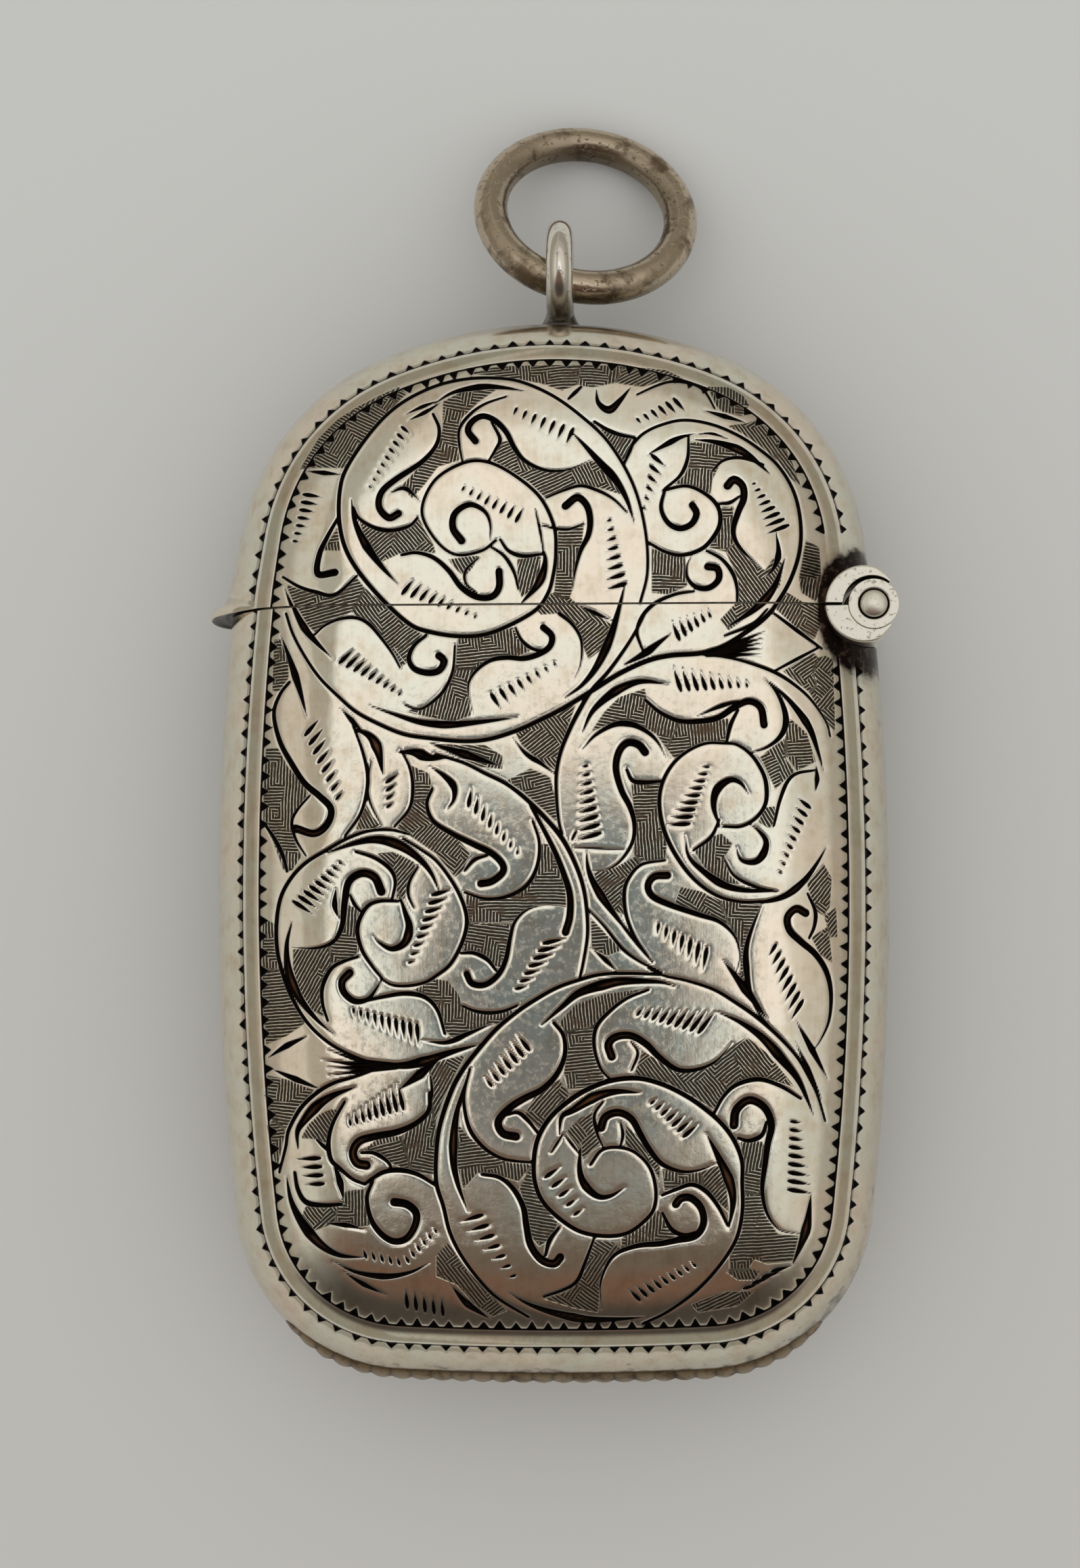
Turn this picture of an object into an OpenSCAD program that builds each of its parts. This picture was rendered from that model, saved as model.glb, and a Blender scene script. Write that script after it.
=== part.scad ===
// Engraved silver vesta case: a hollow match case with a side-hinged lid, a serrated
// striker on its base, and a loop and ring for a watch chain.
// It lies on its back: +X is the hinge side, +Y the ring end, +Z the engraved front.
// The origin is on the flat back, at the case's widest line. Millimetres.

/* [Case] */
// Greatest width across the sides
case_w = 32; // [30:0.5:35]
// Thickness from back to front
case_t = 10.6; // [9.6:0.2:12]
// Height of the crown above the widest line
crown_h = 26.8; // [25.5:0.1:28.5]
// Depth of the base below the widest line
base_h = 23.5; // [22:0.5:26]
// Height of the lid seam above the widest line
seam_h = 12.5; // [10.5:0.1:13.5]
// Gap between the closed lid and the body
seam_gap = 0.1; // [0.06:0.02:0.2]
// Thickness of the silver sheet
sheet = 0.5; // [0.4:0.05:0.7]

/* [Outline] */
// Radius of the crown
crown_r = 21.5; // [20:0.5:24]
// Radius of the shoulders
shoulder_r = 11.2; // [9.5:0.1:12]
// Radius of the bowed sides
side_r = 135; // [110:5:180]
// Radius of the base corners
corner_r = 8.3; // [7.4:0.1:9.5]
// Radius of the bowed base
base_r = 140; // [100:10:260]
// How far the rounded edge rolls in over the face
roll_in = 6.5; // [5.5:0.1:7]
// Squareness of the rounded edge, where 2 is an ellipse
roll_power = 2.4; // [2:0.1:3]

/* [Mouth rim] */
// Thickness of the rim soldered inside the mouth
rim_t = 0.35; // [0.25:0.05:0.5]
// Height that the rim stands up into the lid
rim_up = 1.5; // [1:0.1:2.5]
// Depth that the rim reaches down into the body
rim_down = 3; // [2:0.5:5]
// Gap between the rim and the sheet around it
rim_gap = 0.08; // [0.06:0.01:0.12]

/* [Hinge] */
// Distance of the hinge axis inside the case's side
hinge_in = 0.35; // [0.1:0.05:0.6]
// Distance of the hinge's ends inside the faces
hinge_end = 0.5; // [0.4:0.1:1]
// Radius of the hinge boss that the two leaves share
boss_r = 1.82; // [1.7:0.02:2.1]
// Distance of the boss centre inside the hinge axis
boss_in = 0.45; // [0.3:0.05:0.55]
// Radius of the knuckles
knuckle_r = 1.18; // [1.05:0.01:1.25]
// Length of the lid's middle knuckle
lid_knuckle_l = 3.2; // [2.4:0.1:4]
// Radius of the hinge pin
pin_r = 0.64; // [0.5:0.02:0.72]
// Height of the pin's domed ends
pin_dome = 0.2; // [0.1:0.02:0.3]
// Running gap round the pin and between the knuckles
hinge_gap = 0.05; // [0.03:0.01:0.08]
// Gap that the lid leaf leaves round the body's knuckles
crescent_gap = 0.2; // [0.12:0.02:0.25]
// Solder line between seated pieces
seat = 0.03; // [0.02:0.01:0.05]
// Widest opening of the lid
lid_open = 100; // [80:1:105]

/* [Thumb lip] */
// How far the lip stands out from the lid
lip_out = 0.95; // [0.6:0.05:1.3]
// Thickness of the lip's edge
lip_t = 0.6; // [0.4:0.05:0.9]
// Height of the hollow above the lip
lip_rise = 1.1; // [0.7:0.1:1.6]
// Half of the lip's length round the side
lip_half = 4.4; // [3.4:0.1:4.6]

/* [Striker] */
// Pitch of the striker's teeth
tooth_pitch = 0.95; // [0.8:0.05:1.2]
// Height of the teeth
tooth_h = 0.15; // [0.1:0.01:0.3]
// Number of teeth
teeth = 28; // [20:2:30]
// Thickness of the strip under the teeth
striker_t = 0.15; // [0.1:0.05:0.3]
// Half of the striker's width across the case
striker_half = 2.3; // [2:0.1:3.5]

/* [Loop and ring] */
// Offset of the loop from the centre line
loop_x = 0.42; // [0:0.02:0.8]
// Height of the loop above the crown
loop_h = 5.3; // [4.8:0.1:6]
// Thickness of the loop's wire
loop_wire = 1.3; // [1.1:0.05:1.4]
// Width of the loop's flared foot
foot_w = 1.9; // [1.7:0.1:2.4]
// Height of the loop's flared foot
foot_h = 0.9; // [0.7:0.1:1.2]
// Radius of the ring at the middle of its wire
ring_r = 4.75; // [4.4:0.05:5.4]
// Thickness of the ring's wire
ring_wire = 1.66; // [1.3:0.02:1.7]
// Turn of the ring to the right as it lies
ring_turn = 17; // [0:0.5:20]
// Gap between the ring and the foot of the loop's hole, where it has slid down
ring_gap = 0.09; // [0.06:0.01:0.15]

/* [Hidden] */
$fn = 64;

silver = "#cfc8b8";
worn_silver = "#b9b09c";
tarnished_silver = "#8d8476";

half_w = case_w / 2;
mid_z = case_t / 2;
// How far a cut reaches past the piece that it cuts
cut_over = 1;

// Steps along each arc of the outline, and from the widest edge to the flat face
crown_steps = 5;
shoulder_steps = 8;
side_steps = 5;
corner_steps = 8;
base_steps = 4;
roll_steps = 7;

// Where two circles meet: the point to the left of the line from the first centre to the second
function meet(c0, r0, c1, r1, left) =
    let (v = c1 - c0, d = norm(v), a = (r0 * r0 - r1 * r1 + d * d) / (2 * d), h = sqrt(r0 * r0 - a * a))
    c0 + v * (a / d) + [-v[1], v[0]] * (left * h / d);
function heading(v) = atan2(v[1], v[0]);

// The outline is drawn with tangent arcs, as with compasses
crown_c = [0, crown_h - crown_r];
side_c = [half_w - side_r, 0];
base_c = [0, base_r - base_h];
shoulder_c = meet(crown_c, crown_r - shoulder_r, side_c, side_r - shoulder_r, -1);
corner_c = meet(base_c, base_r - corner_r, side_c, side_r - corner_r, 1);
shoulder_top = heading(shoulder_c - crown_c);
shoulder_foot = heading(shoulder_c - side_c);
corner_top = heading(corner_c - side_c);
corner_foot = heading(corner_c - base_c);

// A point on an arc moved in by d, and n points along the arc without its last
function on_arc(c, r, d, a) = c + (r - d) * [cos(a), sin(a)];
function along_arc(c, r, d, a0, a1, n) = [for (i = [0 : n - 1]) on_arc(c, r, d, a0 + (a1 - a0) * i / n)];

// The side's heading and x at height y, moved in by d
function side_heading(y, d) = asin(y / (side_r - d));
function side_x(y, d) = side_c[0] + (side_r - d) * cos(side_heading(y, d));

// Right half of each piece's outline, moved in by d, and the whole outline from seam to seam
body_top = seam_h - seam_gap / 2;
lid_foot = seam_h + seam_gap / 2;
function body_right(d) = concat(
    along_arc(base_c, base_r, d, -90, corner_foot, base_steps),
    along_arc(corner_c, corner_r, d, corner_foot, corner_top, corner_steps),
    along_arc(side_c, side_r, d, corner_top, side_heading(body_top, d), side_steps),
    [[side_x(body_top, d), body_top]]);
function lid_right(d) = concat(
    along_arc(side_c, side_r, d, side_heading(lid_foot, d), shoulder_foot, side_steps),
    along_arc(shoulder_c, shoulder_r, d, shoulder_foot, shoulder_top, shoulder_steps),
    along_arc(crown_c, crown_r, d, shoulder_top, 90, crown_steps),
    [[0, crown_h - d]]);
function mirrored(p) = [-p[0], p[1]];
function body_outline(d) =
    let (r = body_right(d), n = len(r)) concat([for (i = [n - 1 : -1 : 1]) mirrored(r[i])], r);
function lid_outline(d) =
    let (r = lid_right(d), n = len(r)) concat(r, [for (i = [n - 2 : -1 : 0]) mirrored(r[i])]);

// The rounded edge: inset and height at step k, for a surface w inside the outer one
last_roll = 2 * roll_steps;
function roll_angle(k) = 90 * (k - roll_steps) / roll_steps;
function roll_inset(k, w) = w + (roll_in - w) * (1 - pow(cos(roll_angle(k)), 2 / roll_power));
function roll_z(k, w) =
    let (s = sin(roll_angle(k))) mid_z + (mid_z - w) * sign(s) * pow(abs(s), 2 / roll_power);
// The same edge turned round: how far in the outer surface lies at a distance h from mid thickness
function inset_at(h) =
    roll_in * (1 - pow(1 - pow(abs(h) / mid_z, roll_power), 1 / roll_power));

// A hollow half of the case, open at the seam: the faces of an outer and an inner stack of outlines
function at_z(outline, z) = [for (p = outline) [p[0], p[1], z]];
function quad(a, b, c, d) = [[a, b, c], [a, c, d]];
function flat_list(lists) = [for (l = lists) each l];
module hollow_half(outer, inner) {
    n = len(outer[0]);
    m = len(outer);
    inner_0 = n * m;
    walls = flat_list([for (k = [0 : m - 2], i = [0 : n - 2])
        let (a = k * n + i, b = a + n, c = inner_0 + a, d = c + n)
        concat(quad(a, b, b + 1, a + 1), quad(c, c + 1, d + 1, d))]);
    mouth = flat_list([for (k = [0 : m - 2])
        let (a = k * n, b = a + n, c = inner_0 + a, d = c + n, e = n - 1)
        concat(quad(a, c, d, b), quad(a + e, b + e, d + e, c + e))]);
    front = (m - 1) * n;
    flats = [
        [for (i = [0 : n - 1]) i],
        [for (i = [n - 1 : -1 : 0]) front + i],
        [for (i = [n - 1 : -1 : 0]) inner_0 + i],
        [for (i = [0 : n - 1]) inner_0 + front + i]];
    bands = concat(
        quad(front, inner_0 + front, inner_0 + front + n - 1, front + n - 1),
        quad(0, n - 1, inner_0 + n - 1, inner_0));
    polyhedron(concat(flat_list(outer), flat_list(inner)), concat(walls, mouth, flats, bands), convexity = 8);
}

// Hinge axis, and the stretch of each knuckle along it
hinge_x = side_x(seam_h, 0) - hinge_in;
hinge_z0 = hinge_end;
hinge_z1 = case_t - hinge_end;
lid_knuckle_z0 = mid_z - lid_knuckle_l / 2;
lid_knuckle_z1 = mid_z + lid_knuckle_l / 2;
body_knuckle_l = lid_knuckle_z0 - hinge_gap - hinge_z0;
bore_r = pin_r + hinge_gap;
// Farthest that the lid's leaf reaches from the axis, and the room that its swing needs
swing_r = boss_r + boss_in + crescent_gap;
// Headings of the two leaves' outer ends, far enough apart for the lid to open
leaf_spare = 4;
body_leaf_end = -50;
lid_leaf_end = body_leaf_end + lid_open + leaf_spare;

module at_hinge(z = 0) {
    translate([hinge_x, seam_h, z]) children();
}
module boss_outline(grow = 0) {
    translate([-boss_in, 0]) circle(boss_r + grow);
}
// The room that a half of the case leaves for the boss
module boss_room() {
    at_hinge(-cut_over) linear_extrude(case_t + 2 * cut_over) boss_outline(seat);
}
// The boss on one side of the seam, as far round as the given heading
module leaf_outline(up, end) {
    reach = 3 * boss_r;
    intersection() {
        boss_outline();
        polygon([[0, up * seam_gap / 2], [-reach, up * seam_gap / 2], [-reach, up * reach],
            [reach / tan(abs(end)), up * reach]]);
    }
}
module knuckle(length, chamfer_top) {
    chamfer = 0.1;
    difference() {
        cylinder(r = knuckle_r, h = length);
        translate([0, 0, -cut_over]) cylinder(r = bore_r, h = length + 2 * cut_over);
        if (chamfer_top)
            translate([0, 0, length - chamfer])
                cylinder(r1 = bore_r, r2 = bore_r + 2 * chamfer, h = 2 * chamfer);
        else
            translate([0, 0, -chamfer])
                cylinder(r1 = bore_r + 2 * chamfer, r2 = bore_r, h = 2 * chamfer);
    }
}

module body_shell() {
    color(silver) difference() {
        hollow_half(
            [for (k = [0 : last_roll]) at_z(body_outline(roll_inset(k, 0)), roll_z(k, 0))],
            [for (k = [0 : last_roll]) at_z(body_outline(roll_inset(k, sheet)), roll_z(k, sheet))]);
        boss_room();
    }
}

module lid_shell() {
    color(silver) difference() {
        hollow_half(
            [for (k = [0 : last_roll]) at_z(lid_outline(roll_inset(k, 0)), roll_z(k, 0))],
            [for (k = [0 : last_roll]) at_z(lid_outline(roll_inset(k, sheet)), roll_z(k, sheet))]);
        boss_room();
    }
}

// A point on the base and its corners, at arc length s from the middle and moved in by d
base_half_l = base_r * (corner_foot + 90) * PI / 180;
function base_point(s, d) =
    let (t = abs(s), p = t < base_half_l
        ? on_arc(base_c, base_r, d, -90 + t / base_r * 180 / PI)
        : on_arc(corner_c, corner_r, d, corner_foot + (t - base_half_l) / corner_r * 180 / PI))
    [sign(s) * p[0], p[1]];

// A closed strip: rings of points with the same count, capped at both ends
module strip(rings) {
    n = len(rings[0]);
    m = len(rings);
    sides = flat_list([for (k = [0 : m - 2], i = [0 : n - 1])
        let (a = k * n + i, b = k * n + (i + 1) % n) quad(a, b, b + n, a + n)]);
    caps = [[for (i = [n - 1 : -1 : 0]) i], [for (i = [0 : n - 1]) (m - 1) * n + i]];
    polyhedron(flat_list(rings), concat(sides, caps), convexity = 8);
}

// A strip soldered round the base and filed across, which leaves low rounded teeth
module base_striker() {
    rows = 3;
    tooth_steps = 4;
    function across(s, rise) = [for (j = [-rows : rows])
        let (h = striker_half * j / rows, p = base_point(s, inset_at(h) - seat - rise))
        [p[0], p[1], mid_z + h]];
    color(worn_silver) strip([for (i = [0 : teeth * tooth_steps])
        let (s = (i / tooth_steps - teeth / 2) * tooth_pitch,
            top = across(s, striker_t + tooth_h * abs(sin(180 * i / tooth_steps))))
        concat(across(s, 0), [for (j = [2 * rows : -1 : 0]) top[j]])]);
}

// A thin collar inside the mouth that the lid closes over
module inner_rim() {
    foot = seam_h - rim_down;
    top = seam_h + rim_up;
    function loop_at(y, w) = concat(
        [for (k = [0 : last_roll]) [side_x(y, roll_inset(k, w)), y, roll_z(k, w)]],
        [for (k = [last_roll : -1 : 0]) [-side_x(y, roll_inset(k, w)), y, roll_z(k, w)]]);
    outer_w = sheet + rim_gap;
    inner_w = outer_w + rim_t;
    loops = [loop_at(foot, inner_w), loop_at(foot, outer_w), loop_at(seam_h, outer_w), loop_at(top, outer_w),
        loop_at(top, inner_w), loop_at(seam_h, inner_w)];
    n = len(loops[0]);
    m = len(loops);
    faces = flat_list([for (k = [0 : m - 1], i = [0 : n - 1])
        let (j = (i + 1) % n, q = (k + 1) % m) quad(k * n + i, k * n + j, q * n + j, q * n + i)]);
    color(silver) difference() {
        polyhedron(flat_list(loops), faces, convexity = 8);
        at_hinge(-cut_over) cylinder(r = swing_r, h = case_t + 2 * cut_over);
    }
}

module body_hinge_leaf() {
    color(worn_silver) difference() {
        at_hinge(hinge_z0) linear_extrude(hinge_z1 - hinge_z0) leaf_outline(-1, body_leaf_end);
        at_hinge(-cut_over) cylinder(r = knuckle_r + seat, h = case_t + 2 * cut_over);
        at_hinge(lid_knuckle_z0 - hinge_gap)
            cylinder(r = knuckle_r + hinge_gap, h = lid_knuckle_l + 2 * hinge_gap);
    }
}

module front_knuckle() {
    color(worn_silver) at_hinge(hinge_z1 - body_knuckle_l) knuckle(body_knuckle_l, true);
}

module rear_knuckle() {
    color(worn_silver) at_hinge(hinge_z0) knuckle(body_knuckle_l, false);
}

module hinge_pin() {
    length = hinge_z1 - hinge_z0;
    dome_r = (pin_r * pin_r + pin_dome * pin_dome) / (2 * pin_dome);
    module half_pin() {
        square([pin_r, length / 2]);
        translate([0, length / 2]) intersection() {
            translate([0, pin_dome - dome_r]) circle(dome_r);
            square([pin_r, pin_dome]);
        }
    }
    color(worn_silver) at_hinge(mid_z) rotate_extrude() {
        half_pin();
        mirror([0, 1]) half_pin();
    }
}

module lid_hinge_leaf() {
    color(worn_silver) difference() {
        at_hinge(hinge_z0) linear_extrude(hinge_z1 - hinge_z0) leaf_outline(1, lid_leaf_end);
        at_hinge(-cut_over) cylinder(r = knuckle_r + seat, h = case_t + 2 * cut_over);
        at_hinge(lid_knuckle_z1) cylinder(r = knuckle_r + crescent_gap, h = case_t);
        at_hinge(lid_knuckle_z0 - case_t) cylinder(r = knuckle_r + crescent_gap, h = case_t);
    }
}

module lid_knuckle() {
    color(worn_silver) at_hinge(lid_knuckle_z0) difference() {
        cylinder(r = knuckle_r, h = lid_knuckle_l);
        translate([0, 0, -cut_over]) cylinder(r = bore_r, h = lid_knuckle_l + 2 * cut_over);
    }
}

// A flange round the lid's free side, hollowed above for a thumb nail
module thumb_lip() {
    stations = 6;
    steps = 5;
    end_out = 0.12;
    top = lid_foot + lip_t + lip_rise;
    function on_lid(y, h, out) = [-side_x(y, inset_at(h)) - seat - out, y, mid_z + h];
    color(silver) strip([for (j = [-stations : stations])
        let (h = lip_half * j / stations, out = end_out + lip_out * (1 - pow(j / stations, 2)))
        concat(
            [on_lid(lid_foot, h, 0), on_lid(lid_foot, h, out)],
            [for (i = [0 : steps - 1])
                let (a = 90 * i / steps)
                on_lid(lid_foot + lip_t + lip_rise * (1 - cos(a)), h, out * (1 - sin(a)))],
            [on_lid(top, h, 0)])]);
}

// A standing wire loop, square to the front, on a foot whose flare runs smoothly out of the wire
loop_y = crown_h + seat + loop_h / 2;
loop_r = (loop_h - loop_wire) / 2;
module suspension_loop() {
    neck_r = loop_wire / 2;
    flare = foot_w / 2 - neck_r;
    flare_r = (flare * flare + foot_h * foot_h) / (2 * flare);
    color(silver) translate([loop_x, loop_y, mid_z]) {
        rotate([0, 90, 0]) rotate_extrude() translate([loop_r, 0]) circle(neck_r);
        translate([0, -loop_h / 2, 0]) rotate([-90, 0, 0]) rotate_extrude() difference() {
            square([foot_w / 2, foot_h]);
            translate([neck_r + flare_r, foot_h]) circle(flare_r);
        }
    }
}

// The ring has slid down in the loop, and lies back until its far side rests on the table
ring_tilt = asin((mid_z - ring_wire / 2) / (2 * ring_r));
ring_y = loop_y - loop_r + (ring_wire / 2 + loop_wire / 2 + ring_gap) / cos(ring_turn);
module ring() {
    color(tarnished_silver) translate([loop_x, ring_y, mid_z]) rotate([-ring_tilt, 0, -ring_turn])
        translate([0, ring_r, 0]) rotate_extrude($fn = 96)
            translate([ring_r, 0]) circle(d = ring_wire, $fn = 32);
}

body_shell();
base_striker();
inner_rim();
body_hinge_leaf();
front_knuckle();
rear_knuckle();
hinge_pin();
lid_shell();
lid_hinge_leaf();
lid_knuckle();
thumb_lip();
suspension_loop();
ring();
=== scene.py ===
import bpy
import numpy as np
from mathutils import Matrix


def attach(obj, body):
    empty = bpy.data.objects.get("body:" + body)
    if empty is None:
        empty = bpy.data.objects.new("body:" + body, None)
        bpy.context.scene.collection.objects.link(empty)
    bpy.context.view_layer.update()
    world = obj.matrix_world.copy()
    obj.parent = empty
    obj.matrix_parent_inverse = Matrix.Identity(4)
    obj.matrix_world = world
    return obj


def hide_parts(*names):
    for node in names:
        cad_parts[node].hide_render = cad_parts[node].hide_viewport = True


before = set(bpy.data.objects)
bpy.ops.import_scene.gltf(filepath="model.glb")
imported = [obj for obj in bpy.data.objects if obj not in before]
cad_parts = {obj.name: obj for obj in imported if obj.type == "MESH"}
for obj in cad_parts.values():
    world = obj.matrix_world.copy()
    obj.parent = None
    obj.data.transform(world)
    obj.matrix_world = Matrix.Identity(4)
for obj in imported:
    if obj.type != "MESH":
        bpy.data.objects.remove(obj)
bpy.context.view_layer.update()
print("frame loaded")

# Lengths are in mm, and in metres only where they reach Blender
tiny = 1e-6

# Camera, fitted to the photo; the roll is in degrees, the clip in metres
cameraPose = {"place": (3.35, -6.84, 140.6), "aim": (-.46, 4.1, 10.6), "roll": .106, "lens": 64.81,
              "sensor": 36, "clip": .005}


def unit(v):
    return v / np.linalg.norm(v, axis=-1, keepdims=True)


def addCamera(c):
    place, aim = np.array(c["place"]), np.array(c["aim"])
    back = unit(place - aim)
    up = np.array([np.sin(np.radians(c["roll"])), np.cos(np.radians(c["roll"])), 0])
    right = unit(np.cross(up, back))
    data = bpy.data.cameras.new("camera")
    data.lens, data.sensor_width, data.clip_start = c["lens"], c["sensor"], c["clip"]
    obj = bpy.data.objects.new("camera", data)
    turn = np.eye(4)
    turn[:3, :3] = np.stack([right, np.cross(back, right), back], 1)
    turn[:3, 3] = place / 1000
    obj.matrix_world = Matrix(turn.tolist())
    bpy.context.scene.collection.objects.link(obj)
    bpy.context.scene.camera = obj


addCamera(cameraPose)


# Small helpers
def colour(text, share=1):
    v = np.array([int(text[i:i + 2], 16) / 255 for i in (1, 3, 5)])
    v = np.where(v <= .04045, v / 12.92, ((v + .055) / 1.055) ** 2.4) * share
    return (*v, 1)


def node(tree, kind, inputs=None, **props):
    n = tree.nodes.new(kind)
    for key, value in props.items():
        setattr(n, key, value)
    for key, value in (inputs or {}).items():
        if isinstance(value, bpy.types.NodeSocket):
            tree.links.new(value, n.inputs[key])
        else:
            n.inputs[key].default_value = value
    return n


def calc(tree, operation, *values):
    return node(tree, "ShaderNodeMath", dict(enumerate(values)), operation=operation).outputs[0]


def times(tree, a, b):
    return calc(tree, "MULTIPLY", a, b)


def plus(tree, a, b):
    return calc(tree, "ADD", a, b)


def less(tree, a, b):
    return calc(tree, "SUBTRACT", a, b)


def larger(tree, a, b):
    return calc(tree, "MAXIMUM", a, b)


def vector(tree, operation, a, b, output=0):
    return node(tree, "ShaderNodeVectorMath", {0: a, 1: b}, operation=operation).outputs[output]


def attribute(tree, name, output="Fac"):
    return node(tree, "ShaderNodeAttribute", attribute_name=name).outputs[output]


def ramp(tree, value, low, high, start=0, end=1):
    inputs = {"Value": value, "From Min": low, "From Max": high, "To Min": start, "To Max": end}
    return node(tree, "ShaderNodeMapRange", inputs, interpolation_type="SMOOTHSTEP").outputs[0]


def blend(tree, share, a, b):
    return node(tree, "ShaderNodeMix", {0: share, 6: a, 7: b}, data_type="RGBA").outputs[2]


def noise(tree, place, scale, detail=3, rough=.55):
    inputs = {"Vector": place, "Scale": scale, "Detail": detail, "Roughness": rough}
    return node(tree, "ShaderNodeTexNoise", inputs).outputs[0]


def spots(tree, place, size, step):
    return ramp(tree, noise(tree, place, *size), *step)


def millimetres(tree):
    place = node(tree, "ShaderNodeTexCoord").outputs["Object"]
    return node(tree, "ShaderNodeVectorMath", {0: place, "Scale": 1000}, operation="SCALE").outputs[0]


def newMaterial(name):
    m = bpy.data.materials.new(name)
    m.use_nodes = True
    m.node_tree.nodes.clear()
    return m, m.node_tree


def close(tree, shader):
    out = node(tree, "ShaderNodeOutputMaterial")
    tree.links.new(shader.outputs[0], out.inputs["Surface"])


def closeMetal(tree, tint, rough, height):
    bump = node(tree, "ShaderNodeBump", {"Strength": 1, "Distance": .001, "Height": height}).outputs[0]
    inputs = {"Base Color": tint, "Metallic": 1, "Roughness": rough, "Normal": bump}
    close(tree, node(tree, "ShaderNodeBsdfPrincipled", inputs))


def gridFaces(rows, cols, wrapRows=False, wrapCols=False):
    i, j = np.meshgrid(np.arange(rows - (not wrapRows)), np.arange(cols - (not wrapCols)), indexing="ij")
    k, m = (i + 1) % rows, (j + 1) % cols
    return np.stack([i * cols + j, i * cols + m, k * cols + m, k * cols + j], -1).reshape(-1, 4)


# A welded piece joins the points that fall together at a pole or a run-out, and drops the faces lost there
def addMesh(name, points, faces, material, body, nodes, normals=None, fields=None, flip=False,
            weld=False):
    points, faces = points.reshape(-1, 3), (faces[:, ::-1] if flip else faces)
    if weld:
        _, first, same = np.unique(points.round(5), axis=0, return_index=True, return_inverse=True)
        faces = first[same.ravel()][faces]
    used = np.unique(faces)
    index = np.zeros(len(points), int)
    index[used] = np.arange(len(used))
    faces = index[faces]
    if weld:
        faces = [f for f in (list(dict.fromkeys(q)) for q in faces.tolist()) if len(f) > 2]
    mesh = bpy.data.meshes.new(name)
    mesh.from_pydata(points[used] / 1000, [], faces)
    mesh.polygons.foreach_set("use_smooth", np.ones(len(faces), bool))
    for key, values in (fields or {}).items():
        values = values.reshape(len(points), -1)[used]
        kind = "FLOAT" if values.shape[1] == 1 else "FLOAT_VECTOR"
        layer = mesh.attributes.new(key, kind, "POINT")
        layer.data.foreach_set("value" if kind == "FLOAT" else "vector", values.ravel().astype(np.float32))
    if normals is not None:
        mesh.normals_split_custom_set_from_vertices(normals.reshape(-1, 3)[used])
    mesh.materials.append(material)
    obj = bpy.data.objects.new(name, mesh)
    bpy.context.scene.collection.objects.link(obj)
    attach(obj, body)
    for n in nodes:
        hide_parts(n)


# World: a soft pale room that dims towards the horizon, with a grey card overhead, a dim strip on the left
# and a dark brown screen on the near side, which the polished silver mirrors. Paper sees a plain dome.
# Steps run up the sky by the height z of a direction; a and b are its slopes from the zenith along X and Y.
room = {"horizon": "#979590", "steps": ((0, .12, "#97948a"), (.38, .55, "#aea9a1"), (.62, .76, "#d2cfc9"),
                                        (.88, .93, "#dddcd7"), (.94, .985, "#ffffff")),
        "strip": (-.46, -.2, "#b4b1a9"), "card": (-.077, .03, -.09, .082, "#70787e"), "soft": .01,
        "stripSoft": .03, "leastUp": .001,
        "screen": {"middle": -.02, "top": (.038, .07), "spread": (.5, 2), "wider": (.1, .01),
                   "fade": (.36, .56), "near": "#6e665f",
                   "steps": ((.99, .94, "#745d51"), (.92, .75, "#4a4541"), (.66, .5, "#5e5651"))},
        "domeLow": ("#a0a39a", .8), "domeHigh": ("#ffffff", 1.2), "domeStep": (0, .6), "seen": "#c4c4c2"}


def addWorld(r):
    world = bpy.data.worlds.new("room")
    bpy.context.scene.world = world
    world.use_nodes = True
    tree = world.node_tree
    tree.nodes.clear()
    way = node(tree, "ShaderNodeTexCoord").outputs["Generated"]
    x, y, z = node(tree, "ShaderNodeSeparateXYZ", {0: way}).outputs
    up = larger(tree, z, r["leastUp"])
    a, b, soft = calc(tree, "DIVIDE", x, up), calc(tree, "DIVIDE", y, up), r["soft"]

    def between(value, low, high, edge):
        return times(tree, ramp(tree, value, low - edge, low + edge),
                    ramp(tree, value, high - edge, high + edge, 1, 0))

    sky = colour(r["horizon"])
    for low, high, tint in r["steps"]:
        sky = blend(tree, ramp(tree, z, low, high), sky, colour(tint))
    left, right, tint = r["strip"]
    sky = blend(tree, between(a, left, right, r["stripSoft"]), sky, colour(tint))
    # The screen widens downwards: its half width is a share of its distance below the card
    screen, low = r["screen"], times(tree, b, -1)
    more, least = screen["wider"]
    off = calc(tree, "ABSOLUTE", less(tree, a, screen["middle"]))
    off = calc(tree, "DIVIDE", off, larger(tree, plus(tree, low, more), least))
    share = times(tree, ramp(tree, low, *screen["top"]), ramp(tree, off, *screen["spread"], 1, 0))
    share = times(tree, share, ramp(tree, z, *screen["fade"]))
    dark = colour(screen["near"])
    for high, low, tint in screen["steps"]:
        dark = blend(tree, ramp(tree, z, low, high, 1, 0), dark, colour(tint))
    sky = blend(tree, share, sky, dark)
    left, right, low, high, tint = r["card"]
    card = times(tree, between(a, left, right, soft), between(b, low, high, soft))
    sky = blend(tree, times(tree, card, less(tree, 1, share)), sky, colour(tint))
    dome = blend(tree, ramp(tree, z, *r["domeStep"]), colour(*r["domeLow"]), colour(*r["domeHigh"]))
    light = node(tree, "ShaderNodeLightPath")
    sky = blend(tree, light.outputs["Is Diffuse Ray"], sky, dome)
    sky = blend(tree, light.outputs["Is Camera Ray"], sky, colour(r["seen"]))
    shader = node(tree, "ShaderNodeBackground", {"Color": sky, "Strength": 1})
    tree.links.new(shader.outputs[0], node(tree, "ShaderNodeOutputWorld").inputs["Surface"])


addWorld(room)

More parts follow.
